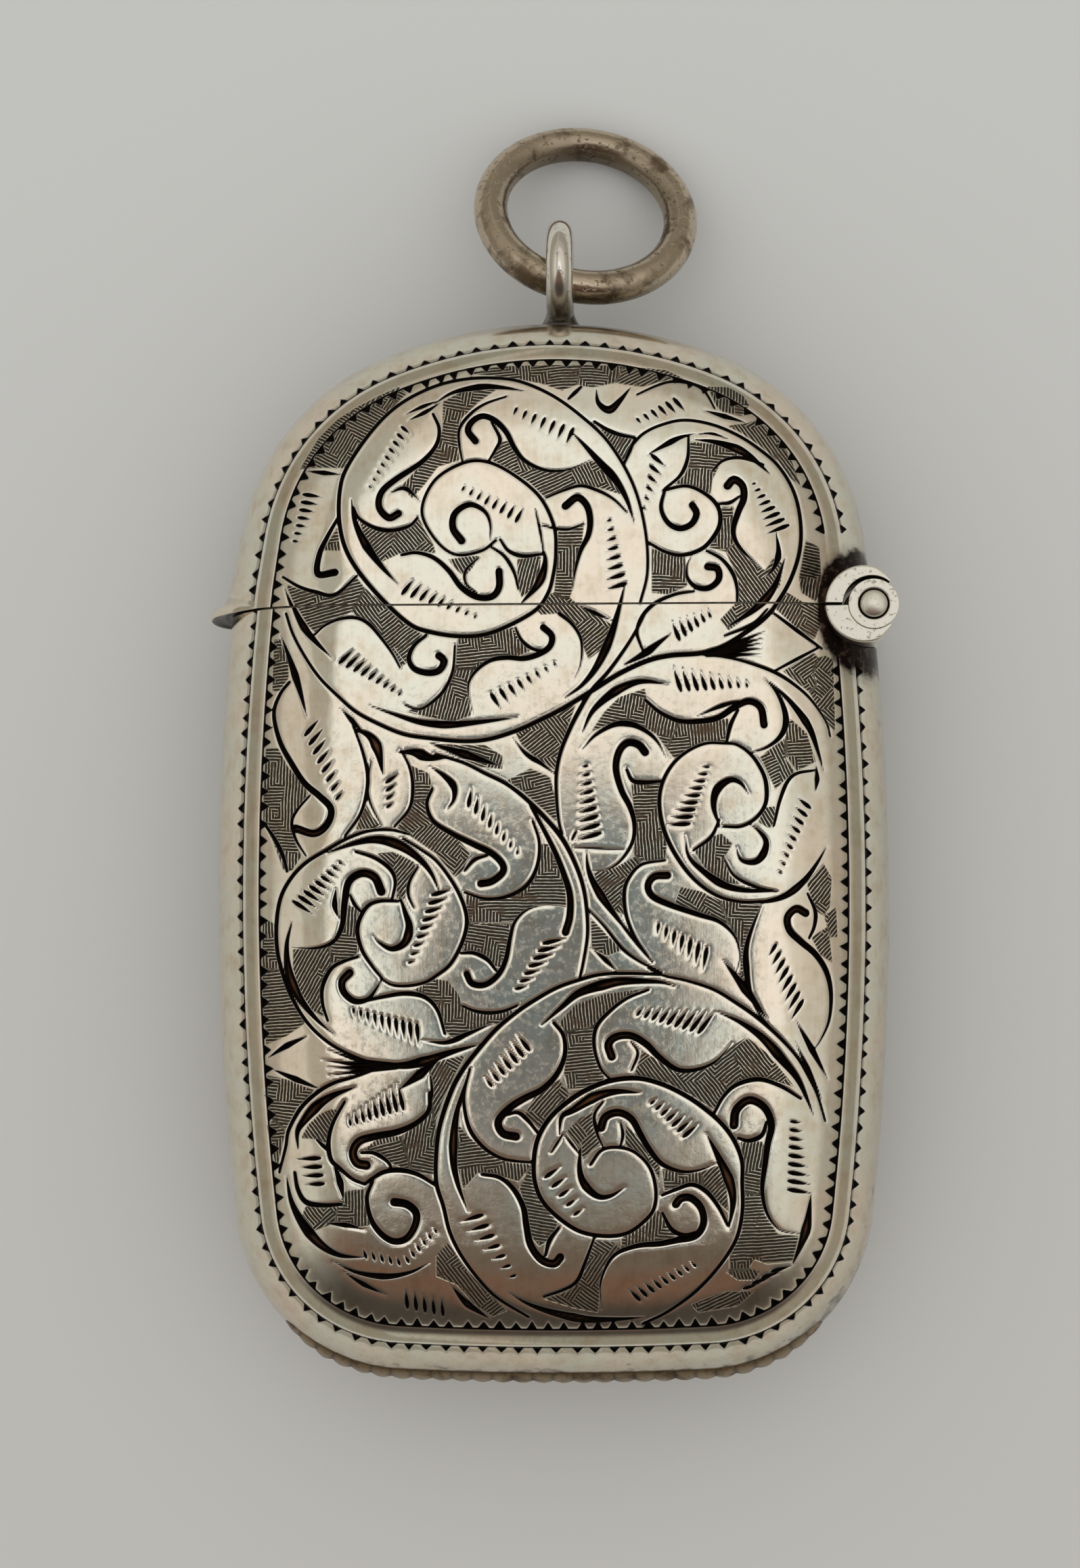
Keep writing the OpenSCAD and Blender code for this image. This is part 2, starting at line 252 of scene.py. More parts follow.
# Floor: plain pale paper, a little darker towards the viewer, just below the case; in metres
floorPaper = {"far": "#c2c2bf", "near": "#bcbab6", "half": 1.5, "fade": (-.035, .045), "level": -2e-5}


def addFloor(f):
    m, tree = newMaterial("pale paper")
    place = node(tree, "ShaderNodeTexCoord").outputs["Object"]
    y = node(tree, "ShaderNodeSeparateXYZ", {0: place}).outputs[1]
    tint = blend(tree, ramp(tree, y, *f["fade"]), colour(f["near"]), colour(f["far"]))
    close(tree, node(tree, "ShaderNodeBsdfDiffuse", {"Color": tint}))
    h, z = f["half"], f["level"]
    mesh = bpy.data.meshes.new("floor")
    mesh.from_pydata([(-h, -h, z), (h, -h, z), (h, h, z), (-h, h, z)], [], [(0, 1, 2, 3)])
    mesh.materials.append(m)
    obj = bpy.data.objects.new("floor", mesh)
    bpy.context.scene.collection.objects.link(obj)


addFloor(floorPaper)
bpy.context.scene.view_settings.view_transform = "Standard"
print("camera, room and floor in")

# The case's outline: five tangent arcs from the crown's top to the base's middle, mirrored.
# A heading is the outward normal's angle; the point moved in by d is centre + (radius - d)(cos, sin).
# The wide arcs of crown and base count only past endsFrom; notch is the hinge's (x, y, radius).
case = {"half": 16, "mid": 5.3, "crown": 26.8, "base": 23.5, "bodyTop": 12.45, "lidFoot": 12.55, "sheet": .5,
        "crownR": 21.5, "shoulderR": 11.2, "sideR": 135, "cornerR": 8.3, "baseR": 140, "rollIn": 6.5,
        "rollPower": 2.4, "steepest": 1e4, "endsFrom": 8, "never": 99, "notch": (14.62, 12.5, 1.85)}


def meet(c0, r0, c1, r1, side):
    v = c1 - c0
    d = np.hypot(*v)
    a = (r0 ** 2 - r1 ** 2 + d ** 2) / (2 * d)
    return c0 + v * a / d + np.array([-v[1], v[0]]) * side * np.sqrt(r0 ** 2 - a ** 2) / d


def heading(v):
    return np.arctan2(v[1], v[0])


def direction(a):
    return np.stack([np.cos(a), np.sin(a)], -1)


def lengths(points):
    return np.concatenate([[0], np.cumsum(np.linalg.norm(np.diff(points, axis=0), axis=1))])


crownC = np.array([0, case["crown"] - case["crownR"]])
sideC = np.array([case["half"] - case["sideR"], 0])
baseC = np.array([0, case["baseR"] - case["base"]])
shoulderC = meet(crownC, case["crownR"] - case["shoulderR"], sideC, case["sideR"] - case["shoulderR"], -1)
cornerC = meet(baseC, case["baseR"] - case["cornerR"], sideC, case["sideR"] - case["cornerR"], 1)
arcCentres = np.stack([crownC, shoulderC, sideC, cornerC, baseC])
arcRadii = np.array([case[k] for k in ("crownR", "shoulderR", "sideR", "cornerR", "baseR")])
turns = np.array([heading(shoulderC - crownC), heading(shoulderC - sideC), heading(cornerC - sideC),
                  heading(cornerC - baseC)])


def outline(a, d=0):
    k = (a[:, None] < turns).sum(1)
    return arcCentres[k] + (arcRadii[k] - d)[:, None] * direction(a)


# Headings at given shares of the outline's length between two of them
def headings(start, end, share, d=0, fine=400):
    stops = np.unique(np.concatenate([[start, end], turns[(turns < start) & (turns > end)]]))[::-1]
    a = np.concatenate([np.linspace(p, q, fine) for p, q in zip(stops, stops[1:])])
    run = lengths(outline(a, d))
    return np.interp(share * run[-1], run, a)


# Distance in from the outline, and the outward normal there
def inset(x, y):
    dx, dy = np.abs(x)[..., None] - arcCentres[:, 0], y[..., None] - arcCentres[:, 1]
    d, a = arcRadii - np.hypot(dx, dy), np.arctan2(dy, dx)
    d[..., 0] += case["never"] * (y < case["endsFrom"])
    d[..., 4] += case["never"] * (y > -case["endsFrom"])
    k = np.array([0, 2, 4])[np.argmin(d[..., [0, 2, 4]], -1)]
    k = np.where((a[..., 1] > turns[1]) & (a[..., 1] < turns[0]), 1, k)
    k = np.where((a[..., 3] > turns[3]) & (a[..., 3] < turns[2]) & (y < 0), 3, k)
    d, a = (np.take_along_axis(v, k[..., None], -1)[..., 0] for v in (d, a))
    return d, np.stack([np.where(x < 0, -1, 1) * np.cos(a), np.sin(a)], -1)


def sideX(y, d=0):
    return sideC[0] + np.sqrt((case["sideR"] - d) ** 2 - y ** 2)


# Edge roll: height and slope of z = (mid - w) (1 - (1 - t)^p)^(1/p) from mid thickness, t the inset's share
# of the roll; w is the sheet's thickness for the inside
def roll(d, w=0):
    p, deep = case["rollPower"], case["mid"] - w
    t = np.clip((d - w) / (case["rollIn"] - w), 1e-9, 1)
    f = 1 - (1 - t) ** p
    z = deep * f ** (1 / p)
    slope = deep / (case["rollIn"] - w) * f ** (1 / p - 1) * (1 - t) ** (p - 1)
    return z, slope


# The scrolls, drawn from the photo, in mm on the face. Each has cuts (profile, greatest width, points),
# hatched ground patches (angle, points) and tick rows (first, last, count, lengths, angle from the thick end
# to the point).
upperLeftScroll = {
    "cuts": [
        ("line", .2, [(-2.5, 15.5), (-3.2, 15), (-4.4, 14.85), (-5.35, 15.6), (-5.95, 16.9), (-5.4, 18.3),
         (-4.2, 19.1), (-3.1, 19.25), (-1.9, 18.75), (-.5, 17.6), (.2, 16.2), (.3, 15), (.2, 14),
         (-.1, 12.95), (-.8, 12.1), (-2.6, 11.2), (-4, 11), (-5.5, 11.2), (-6.6, 11.65), (-8.2, 13.2),
         (-9.35, 14.8), (-9.8, 16.3), (-9.8, 18), (-9.4, 19.2), (-8.2, 20.95), (-7, 22.1), (-5.5, 22.9),
         (-4.1, 23.25), (-2.7, 23.3), (-1.4, 23.1), (.1, 22.4), (1.5, 21.35), (2.8, 20.05), (3.9, 18.1),
         (4.45, 16), (4.55, 14), (4.2, 12.5)]),
        ("swell", .34, [(-5.4, 22.05), (-4.5, 22.6), (-3.2, 22.85), (-2.2, 22.8), (-1.1, 22.6)]),
        ("swell", .2, [(-6.75, 21.55), (-6, 21.9), (-5.2, 22.2)]),
        ("swell", .22, [(-6.6, 21.25), (-5.8, 21.65), (-5.1, 22.1)]),
        ("hook", .34, [(-5.45, 21.55), (-5.15, 20.8), (-5.3, 20), (-6, 19.2), (-7.2, 18.4), (-7.85, 17.8),
         (-7.95, 17.1), (-7.5, 16.6), (-7.05, 16.8)]),
        ("swell", .22, [(-7.5, 17.75), (-6.8, 18), (-6.3, 17.65), (-6.05, 17.35)]),
        ("line", .2, [(-9.15, 17.1), (-8.9, 16.6), (-8.2, 16.15), (-7.4, 16), (-6.55, 16.2), (-6.15, 16.6)]),
        ("swell", .42, [(-9.25, 17.5), (-9.1, 16.5), (-8.6, 15.4), (-7.9, 14.4), (-7.1, 13.5)]),
        ("tail", .36, [(-4.1, 15.5), (-4.5, 16.1), (-4.4, 16.8), (-3.7, 17.2), (-3, 16.85), (-2.75, 16.2),
         (-2.8, 15.5)]),
        ("line", .17, [(-2.8, 15.25), (-2.1, 14.75), (-1.65, 14), (-1.45, 13.2)]),
        ("line", .19, [(-2.3, 15.55), (-1.9, 15), (-1.2, 14.75), (-.3, 14.85)]),
        ("line", .13, [(-3.3, 14.7), (-3.9, 14.1), (-3.9, 13.5), (-3.4, 13.05)]),
        ("hook", .33, [(-6.9, 14.85), (-6.2, 14.95), (-5.4, 14.7), (-4.7, 14.1), (-4.1, 13.3),
         (-3.4, 12.85), (-2.7, 12.85), (-2.35, 13.3), (-2.35, 14.05)]),
        ("swell", .42, [(-.35, 15.2), (-.2, 14.5), (-.5, 13.5), (-1.35, 12.5)]),
        ("line", .12, [(-.65, 16.9), (-.45, 16), (-.3, 15.1)]),
        ("line", .13, [(-.35, 16.2), (.25, 16.05), (.9, 16), (1.6, 16.25)]),
        ("tail", .32, [(-3.45, 20.2), (-3.8, 20.7), (-3.6, 21.15), (-3.1, 21.4), (-2.5, 21.15),
         (-2, 20.6), (-1.65, 19.9), (-1.2, 19.3), (-.5, 18.9), (.2, 18.75), (1, 18.85), (1.9, 19.25)]),
        ("line", .16, [(-2, 22.35), (-3, 22), (-3.7, 21.5), (-4.2, 20.8), (-4.2, 20), (-4.05, 19.2)]),
        ("line", .18, [(-2.7, 21.1), (-2.3, 20.3), (-2.5, 19.8), (-2.8, 19.3)]),
        ("swell", .4, [(1, 20.65), (1.7, 19.9), (2.4, 19.1), (3.1, 18.3), (3.6, 17.4), (3.95, 16.3)]),
        ("line", .16, [(-.15, 17.5), (.7, 17.85), (1.5, 18.05), (2.3, 17.8), (3, 17.4), (3.6, 16.8)]),
        ("tail", .36, [(.75, 17.1), (1.3, 17.5), (1.75, 17.1), (1.9, 16.4), (1.8, 15.7), (1.45, 15),
         (1.2, 14.1), (1.05, 13.2)]),
        ("tail", .3, [(-.3, 11.4), (.1, 11), (0, 10.5), (-.5, 10.15), (-1.2, 9.95), (-2, 10),
         (-2.8, 9.85), (-3.5, 9.3), (-3.8, 8.6), (-3.6, 7.4)]),
        ("line", .17, [(-1.6, 11.4), (-1.3, 10.8), (-.8, 10.4), (-.2, 10.3)]),
        ("tail", .18, [(.45, 12.05), (1, 11.6), (1.4, 11), (1.5, 10.4), (1.4, 9.6), (1.1, 8.95)]),
        ("line", .17, [(-10.95, 11.15), (-10.5, 11.55), (-9.8, 11.85), (-9, 11.9), (-8.4, 11.6),
         (-7.8, 10.9), (-7.3, 10.2), (-6.95, 9.55)]),
        ("hook", .34, [(-5.75, 11.05), (-6.3, 10.6), (-6.55, 10), (-6.3, 9.5), (-5.7, 9.3), (-5.15, 9.4),
         (-4.9, 9.85), (-5.15, 10.1)]),
        ("line", .16, [(-4.4, 10.6), (-4.5, 9.4), (-4.9, 8.5), (-5.5, 7.9), (-6.1, 7.6), (-6.7, 7.8)]),
        ("swell", .36, [(-12.35, 13.4), (-11.9, 12.3), (-11.4, 11.4), (-10.8, 10.7), (-10.1, 10)]),
        ("line", .19, [(-12.45, 13.95), (-11.7, 13.45), (-10.9, 13.15), (-10, 13), (-9, 13.85)]),
        ("hook", .34, [(-9.9, 16.6), (-10.4, 15.7), (-10.75, 14.9), (-10.8, 14), (-10, 14.05)]),
        ("line", .22, [(-12.35, 12.2), (-12, 11.2), (-11.4, 10.1), (-10.7, 9.1), (-9.8, 8.2), (-9, 7.5),
         (-8, 6.95), (-6.8, 6.45), (-5.6, 6.25), (-4, 6.1), (-2.8, 6.2), (-1.5, 6.6), (-.5, 7.05),
         (.6, 7.6), (2, 8.45), (3.2, 9.2), (4.5, 9.8), (5.6, 10.05), (7, 10.15), (8, 10.45), (9, 11.05),
         (9.9, 11.7), (10.5, 12.4), (11.2, 13.6), (11.65, 15), (11.7, 16.4), (11.4, 17.8), (10.7, 19),
         (9.8, 19.8), (8.8, 20.45), (7.6, 20.95), (6.3, 21.15), (5.2, 20.9), (4.4, 20.5), (3.9, 20)]),
        ("swell", .36, [(-8.3, 7.75), (-7.3, 7.4), (-6, 7), (-4.7, 6.88), (-3.2, 7), (-1.5, 7.2)]),
        ("swell", .42, [(3.5, 13.4), (3.2, 12.2), (2.8, 10.9), (2.2, 9.6), (1.5, 8.7), (.7, 8.1)]),
        ("swell", .36, [(-12.6, 11.2), (-12.1, 9.9), (-11.7, 8.7), (-11.3, 7.3)]),
        ("swell", .2, [(1.3, 12.45), (2, 12.1), (2.9, 11.7)]),
    ],
    "ground": [
        (80, [(-5, 22.15), (-4.2, 22.6), (-2.4, 22.75), (-3.3, 22.1), (-4.1, 21.3), (-4.3, 20.4),
         (-4.2, 19.3), (-5.2, 19), (-5.8, 18.2), (-6.4, 17.5), (-6.9, 18.1), (-6.2, 18.9), (-5.3, 19.8),
         (-5, 20.8)]),
        (40, [(-8.9, 16.5), (-8.2, 16.05), (-7.3, 15.9), (-6.5, 16.1), (-6.1, 16.6), (-5.8, 16),
         (-5.4, 15.3), (-5.3, 14.9), (-6.2, 15.05), (-7, 14.9), (-7.9, 14.5), (-8.5, 15.3)]),
        (75, [(-1.5, 14.6), (-.4, 14.75), (-.45, 14), (-.8, 13.2), (-1.3, 12.8), (-1.5, 13.4)]),
        (30, [(-4.7, 14.6), (-3.8, 14.75), (-3.3, 14.75), (-3.6, 14.2), (-3.95, 13.8), (-4.3, 14.1)]),
        (25, [(-2.7, 19.3), (-2.35, 20.1), (-1.9, 20.2), (-1.2, 19.4), (-.5, 18.95), (.3, 18.75),
         (1, 18.8), (1.9, 19.2), (2.3, 19.2), (3, 18.4), (3.4, 17.6), (2.5, 17.9), (1.5, 18.1),
         (.6, 17.85), (-.2, 17.5), (-.9, 18.2), (-1.8, 18.8)]),
        (0, [(.4, 15.95), (1, 15.95), (1.6, 16.2), (1.5, 15.2), (1.2, 14.2), (1.05, 13.1), (.9, 12.7),
         (.2, 12.9), (.3, 14)]),
        (40, [(.9, 12.8), (1.4, 12.4), (2.2, 12), (3, 11.4), (2.5, 10.4), (1.8, 9.9), (1.5, 10.6),
         (1, 11.6), (.4, 12.05), (-.4, 12), (-.7, 12.3), (.1, 13)]),
        (5, [(-4.3, 10.9), (-3, 11.05), (-1.7, 11.4), (-1.3, 10.7), (-.9, 10.3), (-1.6, 10), (-2.7, 9.85),
         (-3.3, 9.4), (-4.4, 9.3)]),
        (75, [(-4.45, 9.6), (-3.3, 9.6), (-3.8, 8.6), (-3.65, 7.3), (-4.5, 7), (-5.5, 7.2), (-6.7, 7.5),
         (-5.9, 7.75), (-5.2, 8.2), (-4.75, 9)]),
        (15, [(-12.3, 13.6), (-11.6, 13.3), (-10.8, 13.1), (-10, 13.05), (-9.5, 13.4), (-9, 13.8),
         (-8.6, 13.3), (-9.2, 12.2), (-9.8, 11.85), (-10.5, 11.6), (-10.9, 11.2), (-11.3, 11.6),
         (-11.9, 12.6)]),
        (128, [(-9.2, 12.2), (-8.6, 13.3), (-8, 12.8), (-7.2, 12), (-6.6, 11.5), (-5.9, 11.1),
         (-6.4, 10.5), (-6.6, 9.8), (-6.9, 9.6), (-7.2, 10.2), (-7.8, 10.9), (-8.4, 11.6), (-9, 11.9)]),
        (5, [(-9.9, 16.2), (-9.75, 15.05), (-10.6, 15.1)]),
        (95, [(-12.95, 11), (-12.6, 11), (-12.2, 9.9), (-12.2, 9.1), (-12.7, 8.5), (-13, 8.6)]),
    ],
    "ticks": [
        ((-6.7, 20.75), (-8.35, 18.05), 9, (.62, .22), -42),
        ((-4, 18), (-1.4, 16.7), 8, (.28, .72), 62),
        ((-1.6, 21.6), (.95, 20.4), 7, (.42, .8), 245),
        ((-6.6, 13.35), (-3.45, 11.95), 9, (.85, .18), 52),
        ((2.75, 16.4), (3.1, 13.3), 8, (.25, .95), 197),
        ((-2.5, 7.95), (.25, 9.65), 8, (.85, .22), -58),
        ((-9.45, 10.1), (-6.95, 8.35), 9, (.9, .22), 43),
        ((-11.1, 17.75), (-11.85, 15.6), 7, (.95, .35), -12),
    ],
}
upperRightScroll = {
    "cuts": [
        ("swell", .28, [(4.6, 19.5), (5.5, 20), (6.1, 20.3), (6.8, 20.5)]),
        ("swell", .42, [(6.8, 20.2), (7.7, 20.1), (8.7, 19.8), (9.4, 19.4), (10.3, 18.6)]),
        ("swell", .14, [(6.8, 20.45), (7.6, 20.5), (8.5, 20.2)]),
        ("line", .18, [(6.5, 20.3), (6.45, 19.3), (6.1, 18.5), (5.4, 17.9)]),
        ("hook", .32, [(5.4, 17.9), (5.2, 17), (5.5, 16.3), (6.05, 16), (6.6, 16.2), (6.85, 16.7),
         (6.65, 17.1)]),
        ("line", .21, [(5.3, 17.8), (6.4, 18), (7.3, 17.6), (7.85, 17), (7.95, 16.3), (7.7, 15.7),
         (7.1, 15.05), (6.2, 14.75), (5.4, 14.9), (4.6, 15.35)]),
        ("line", .17, [(7.6, 18.7), (8.1, 19.2), (8.9, 19.35), (10, 19.05)]),
        ("tail", .38, [(8.3, 18), (8.6, 18.3), (9, 18), (9.05, 17.4), (8.8, 16.8), (8.55, 16),
         (8.65, 15.4), (9.1, 14.8), (9.85, 14.1)]),
        ("line", .17, [(7.9, 17.15), (8.4, 17.2), (8.85, 17.5)]),
        ("swell", .42, [(10.95, 14.6), (10.4, 13.2), (9.5, 12.2), (8.2, 11.35)]),
        ("line", .16, [(10.1, 12.2), (9.4, 11.5), (8.1, 10.95)]),
        ("swell", .3, [(10.55, 15.8), (10.65, 14.8), (10.4, 14.1), (10, 13.7)]),
        ("line", .19, [(7.3, 14.95), (8, 14.55), (8.5, 13.9), (8.7, 13.2), (8.7, 12.5)]),
        ("tail", .34, [(7.35, 14.2), (7.8, 14.1), (7.85, 13.6), (7.4, 13.2), (6.8, 13.25), (6.4, 13.7),
         (6.4, 14.3), (6.6, 14.7)]),
        ("line", .18, [(6.7, 13.05), (5.8, 12.9), (4.9, 12.5), (4.3, 11.9), (4.05, 11.2), (4.2, 10.6),
         (4.4, 10.15)]),
        ("swell", .36, [(3.4, 9.6), (4.4, 10.15), (5, 10.6), (5.6, 11.05)]),
        ("swell", .4, [(2.2, 22.65), (2.3, 22), (2.8, 21.65), (3.3, 22.1), (3.8, 22.75)]),
        ("line", .2, [(.9, 22.2), (1.5, 22.8)]),
        ("line", .2, [(2.1, 21.1), (2.7, 20.7), (3.3, 20.45), (4, 20.3)]),
        ("line", .16, [(4.1, 22.4), (5.1, 22.9), (5.8, 23.1), (6.7, 23), (7.3, 22.6), (7.75, 21.75)]),
        ("swell", .26, [(7.25, 21.65), (8.1, 21.4), (9.2, 21.1)]),
        ("line", .18, [(4, 20.25), (3.5, 19.1)]),
        ("line", .19, [(10.4, 12), (11.5, 11.2), (12.65, 10.4)]),
        ("line", .16, [(12.5, 10.45), (11.5, 9.9), (10.4, 9.3)]),
        ("tail", .3, [(7.3, 10.17), (8.6, 10.6), (9.95, 11.15)]),
        ("tail", .3, [(7.3, 10.15), (8.6, 10.5), (9.9, 10.85)]),
        ("tail", .3, [(7.3, 10.13), (8.6, 10.38), (9.8, 10.6)]),
        ("tail", .3, [(7.3, 10.12), (8.6, 10.25), (9.8, 10.35)]),
        ("tail", .26, [(7.3, 10.1), (8.6, 10.08), (9.8, 10.05)]),
        ("swell", .24, [(-11.5, 19), (-10.7, 18.85), (-9.75, 18.7)]),
    ],
    "ground": [
        (85, [(6.55, 20.1), (7.7, 20), (9, 19.5), (8, 19.1), (7.6, 18.3), (7.5, 17.6), (6.6, 18),
         (5.8, 18.1), (6.3, 18.5), (6.55, 19.2)]),
        (0, [(8, 17), (8.6, 17), (8.5, 16), (8.6, 15.4), (8.2, 14.9), (7.4, 15.1), (7.85, 15.8), (8, 16.4)]),
        (125, [(8.2, 14.9), (8.6, 15.3), (9.2, 14.6), (10, 14), (10.4, 14.6), (10.9, 14.3), (10.7, 13.3),
         (10, 12.5), (9.1, 11.8), (8.3, 11.2), (7.9, 11.7), (8.75, 12.6), (8.75, 13.6), (8.4, 14.4)]),
        (88, [(4.75, 15.1), (5.4, 14.8), (6.3, 14.7), (6.35, 14.1), (6.4, 13.3), (5.5, 12.9), (4.75, 13)]),
        (150, [(10.5, 12.2), (11, 13), (11.7, 12.6), (12.6, 12.4), (12.6, 11.5), (12.3, 10.8),
         (11.5, 11.3)]),
        (35, [(10.8, 9.3), (11.7, 9.9), (12.3, 10.2), (12.8, 9.4), (12.9, 7.4), (12.2, 8.2), (11.3, 8.9)]),
        (80, [(11.6, 13.7), (11.95, 15.5), (12.6, 15.2), (12.7, 13.5), (12.4, 12.6), (11.7, 13)]),
        (150, [(-11.8, 19.1), (-10.9, 20.6), (-10, 21.5), (-9, 22.1), (-8, 22.6), (-7.1, 23),
         (-6.7, 22.6), (-7.2, 22.1), (-8.1, 21.2), (-8.7, 20.4), (-9.2, 19.5), (-9.6, 19), (-10.9, 19.1)]),
        (5, [(-3.9, 23.55), (-2.5, 23.9), (-.5, 23.95), (1.5, 23.95), (1.3, 22.9), (.6, 22.6),
         (-.3, 22.95), (-1.4, 23.2), (-2.7, 23.4)]),
        (85, [(1.3, 22.9), (1.5, 23.95), (3.5, 23.9), (3.1, 23), (2, 22.75)]),
        (30, [(3.5, 23.9), (5.5, 23.7), (6.3, 23.3), (5.3, 23.1), (4.4, 22.8), (3.6, 22.9), (3.1, 23)]),
        (85, [(7.4, 22.9), (8.4, 22.9), (9.1, 22.5), (9.4, 22), (9, 21.4), (8.1, 21.6), (7.8, 21.9)]),
        (125, [(8.3, 20.9), (9.3, 21.1), (9.8, 21.3), (11, 20.1), (11.4, 19.2), (11.8, 18), (11.3, 18.4),
         (10.7, 19.2), (9.8, 20), (8.9, 20.6)]),
        (60, [(2.3, 20.85), (3.3, 20.4), (4, 20.2), (3.5, 19.1), (2.9, 20)]),
    ],
    "ticks": [
        ((5.1, 19.2), (4.45, 16.95), 6, (.85, .18), -40),
        ((9.5, 18.1), (10.6, 15.95), 8, (.22, 1.15), 203),
        ((5.85, 11.2), (7.4, 12), 6, (.9, .38), 112),
        ((4.2, 21.1), (6.1, 21.9), 6, (.38, .85), -50),
    ],
}
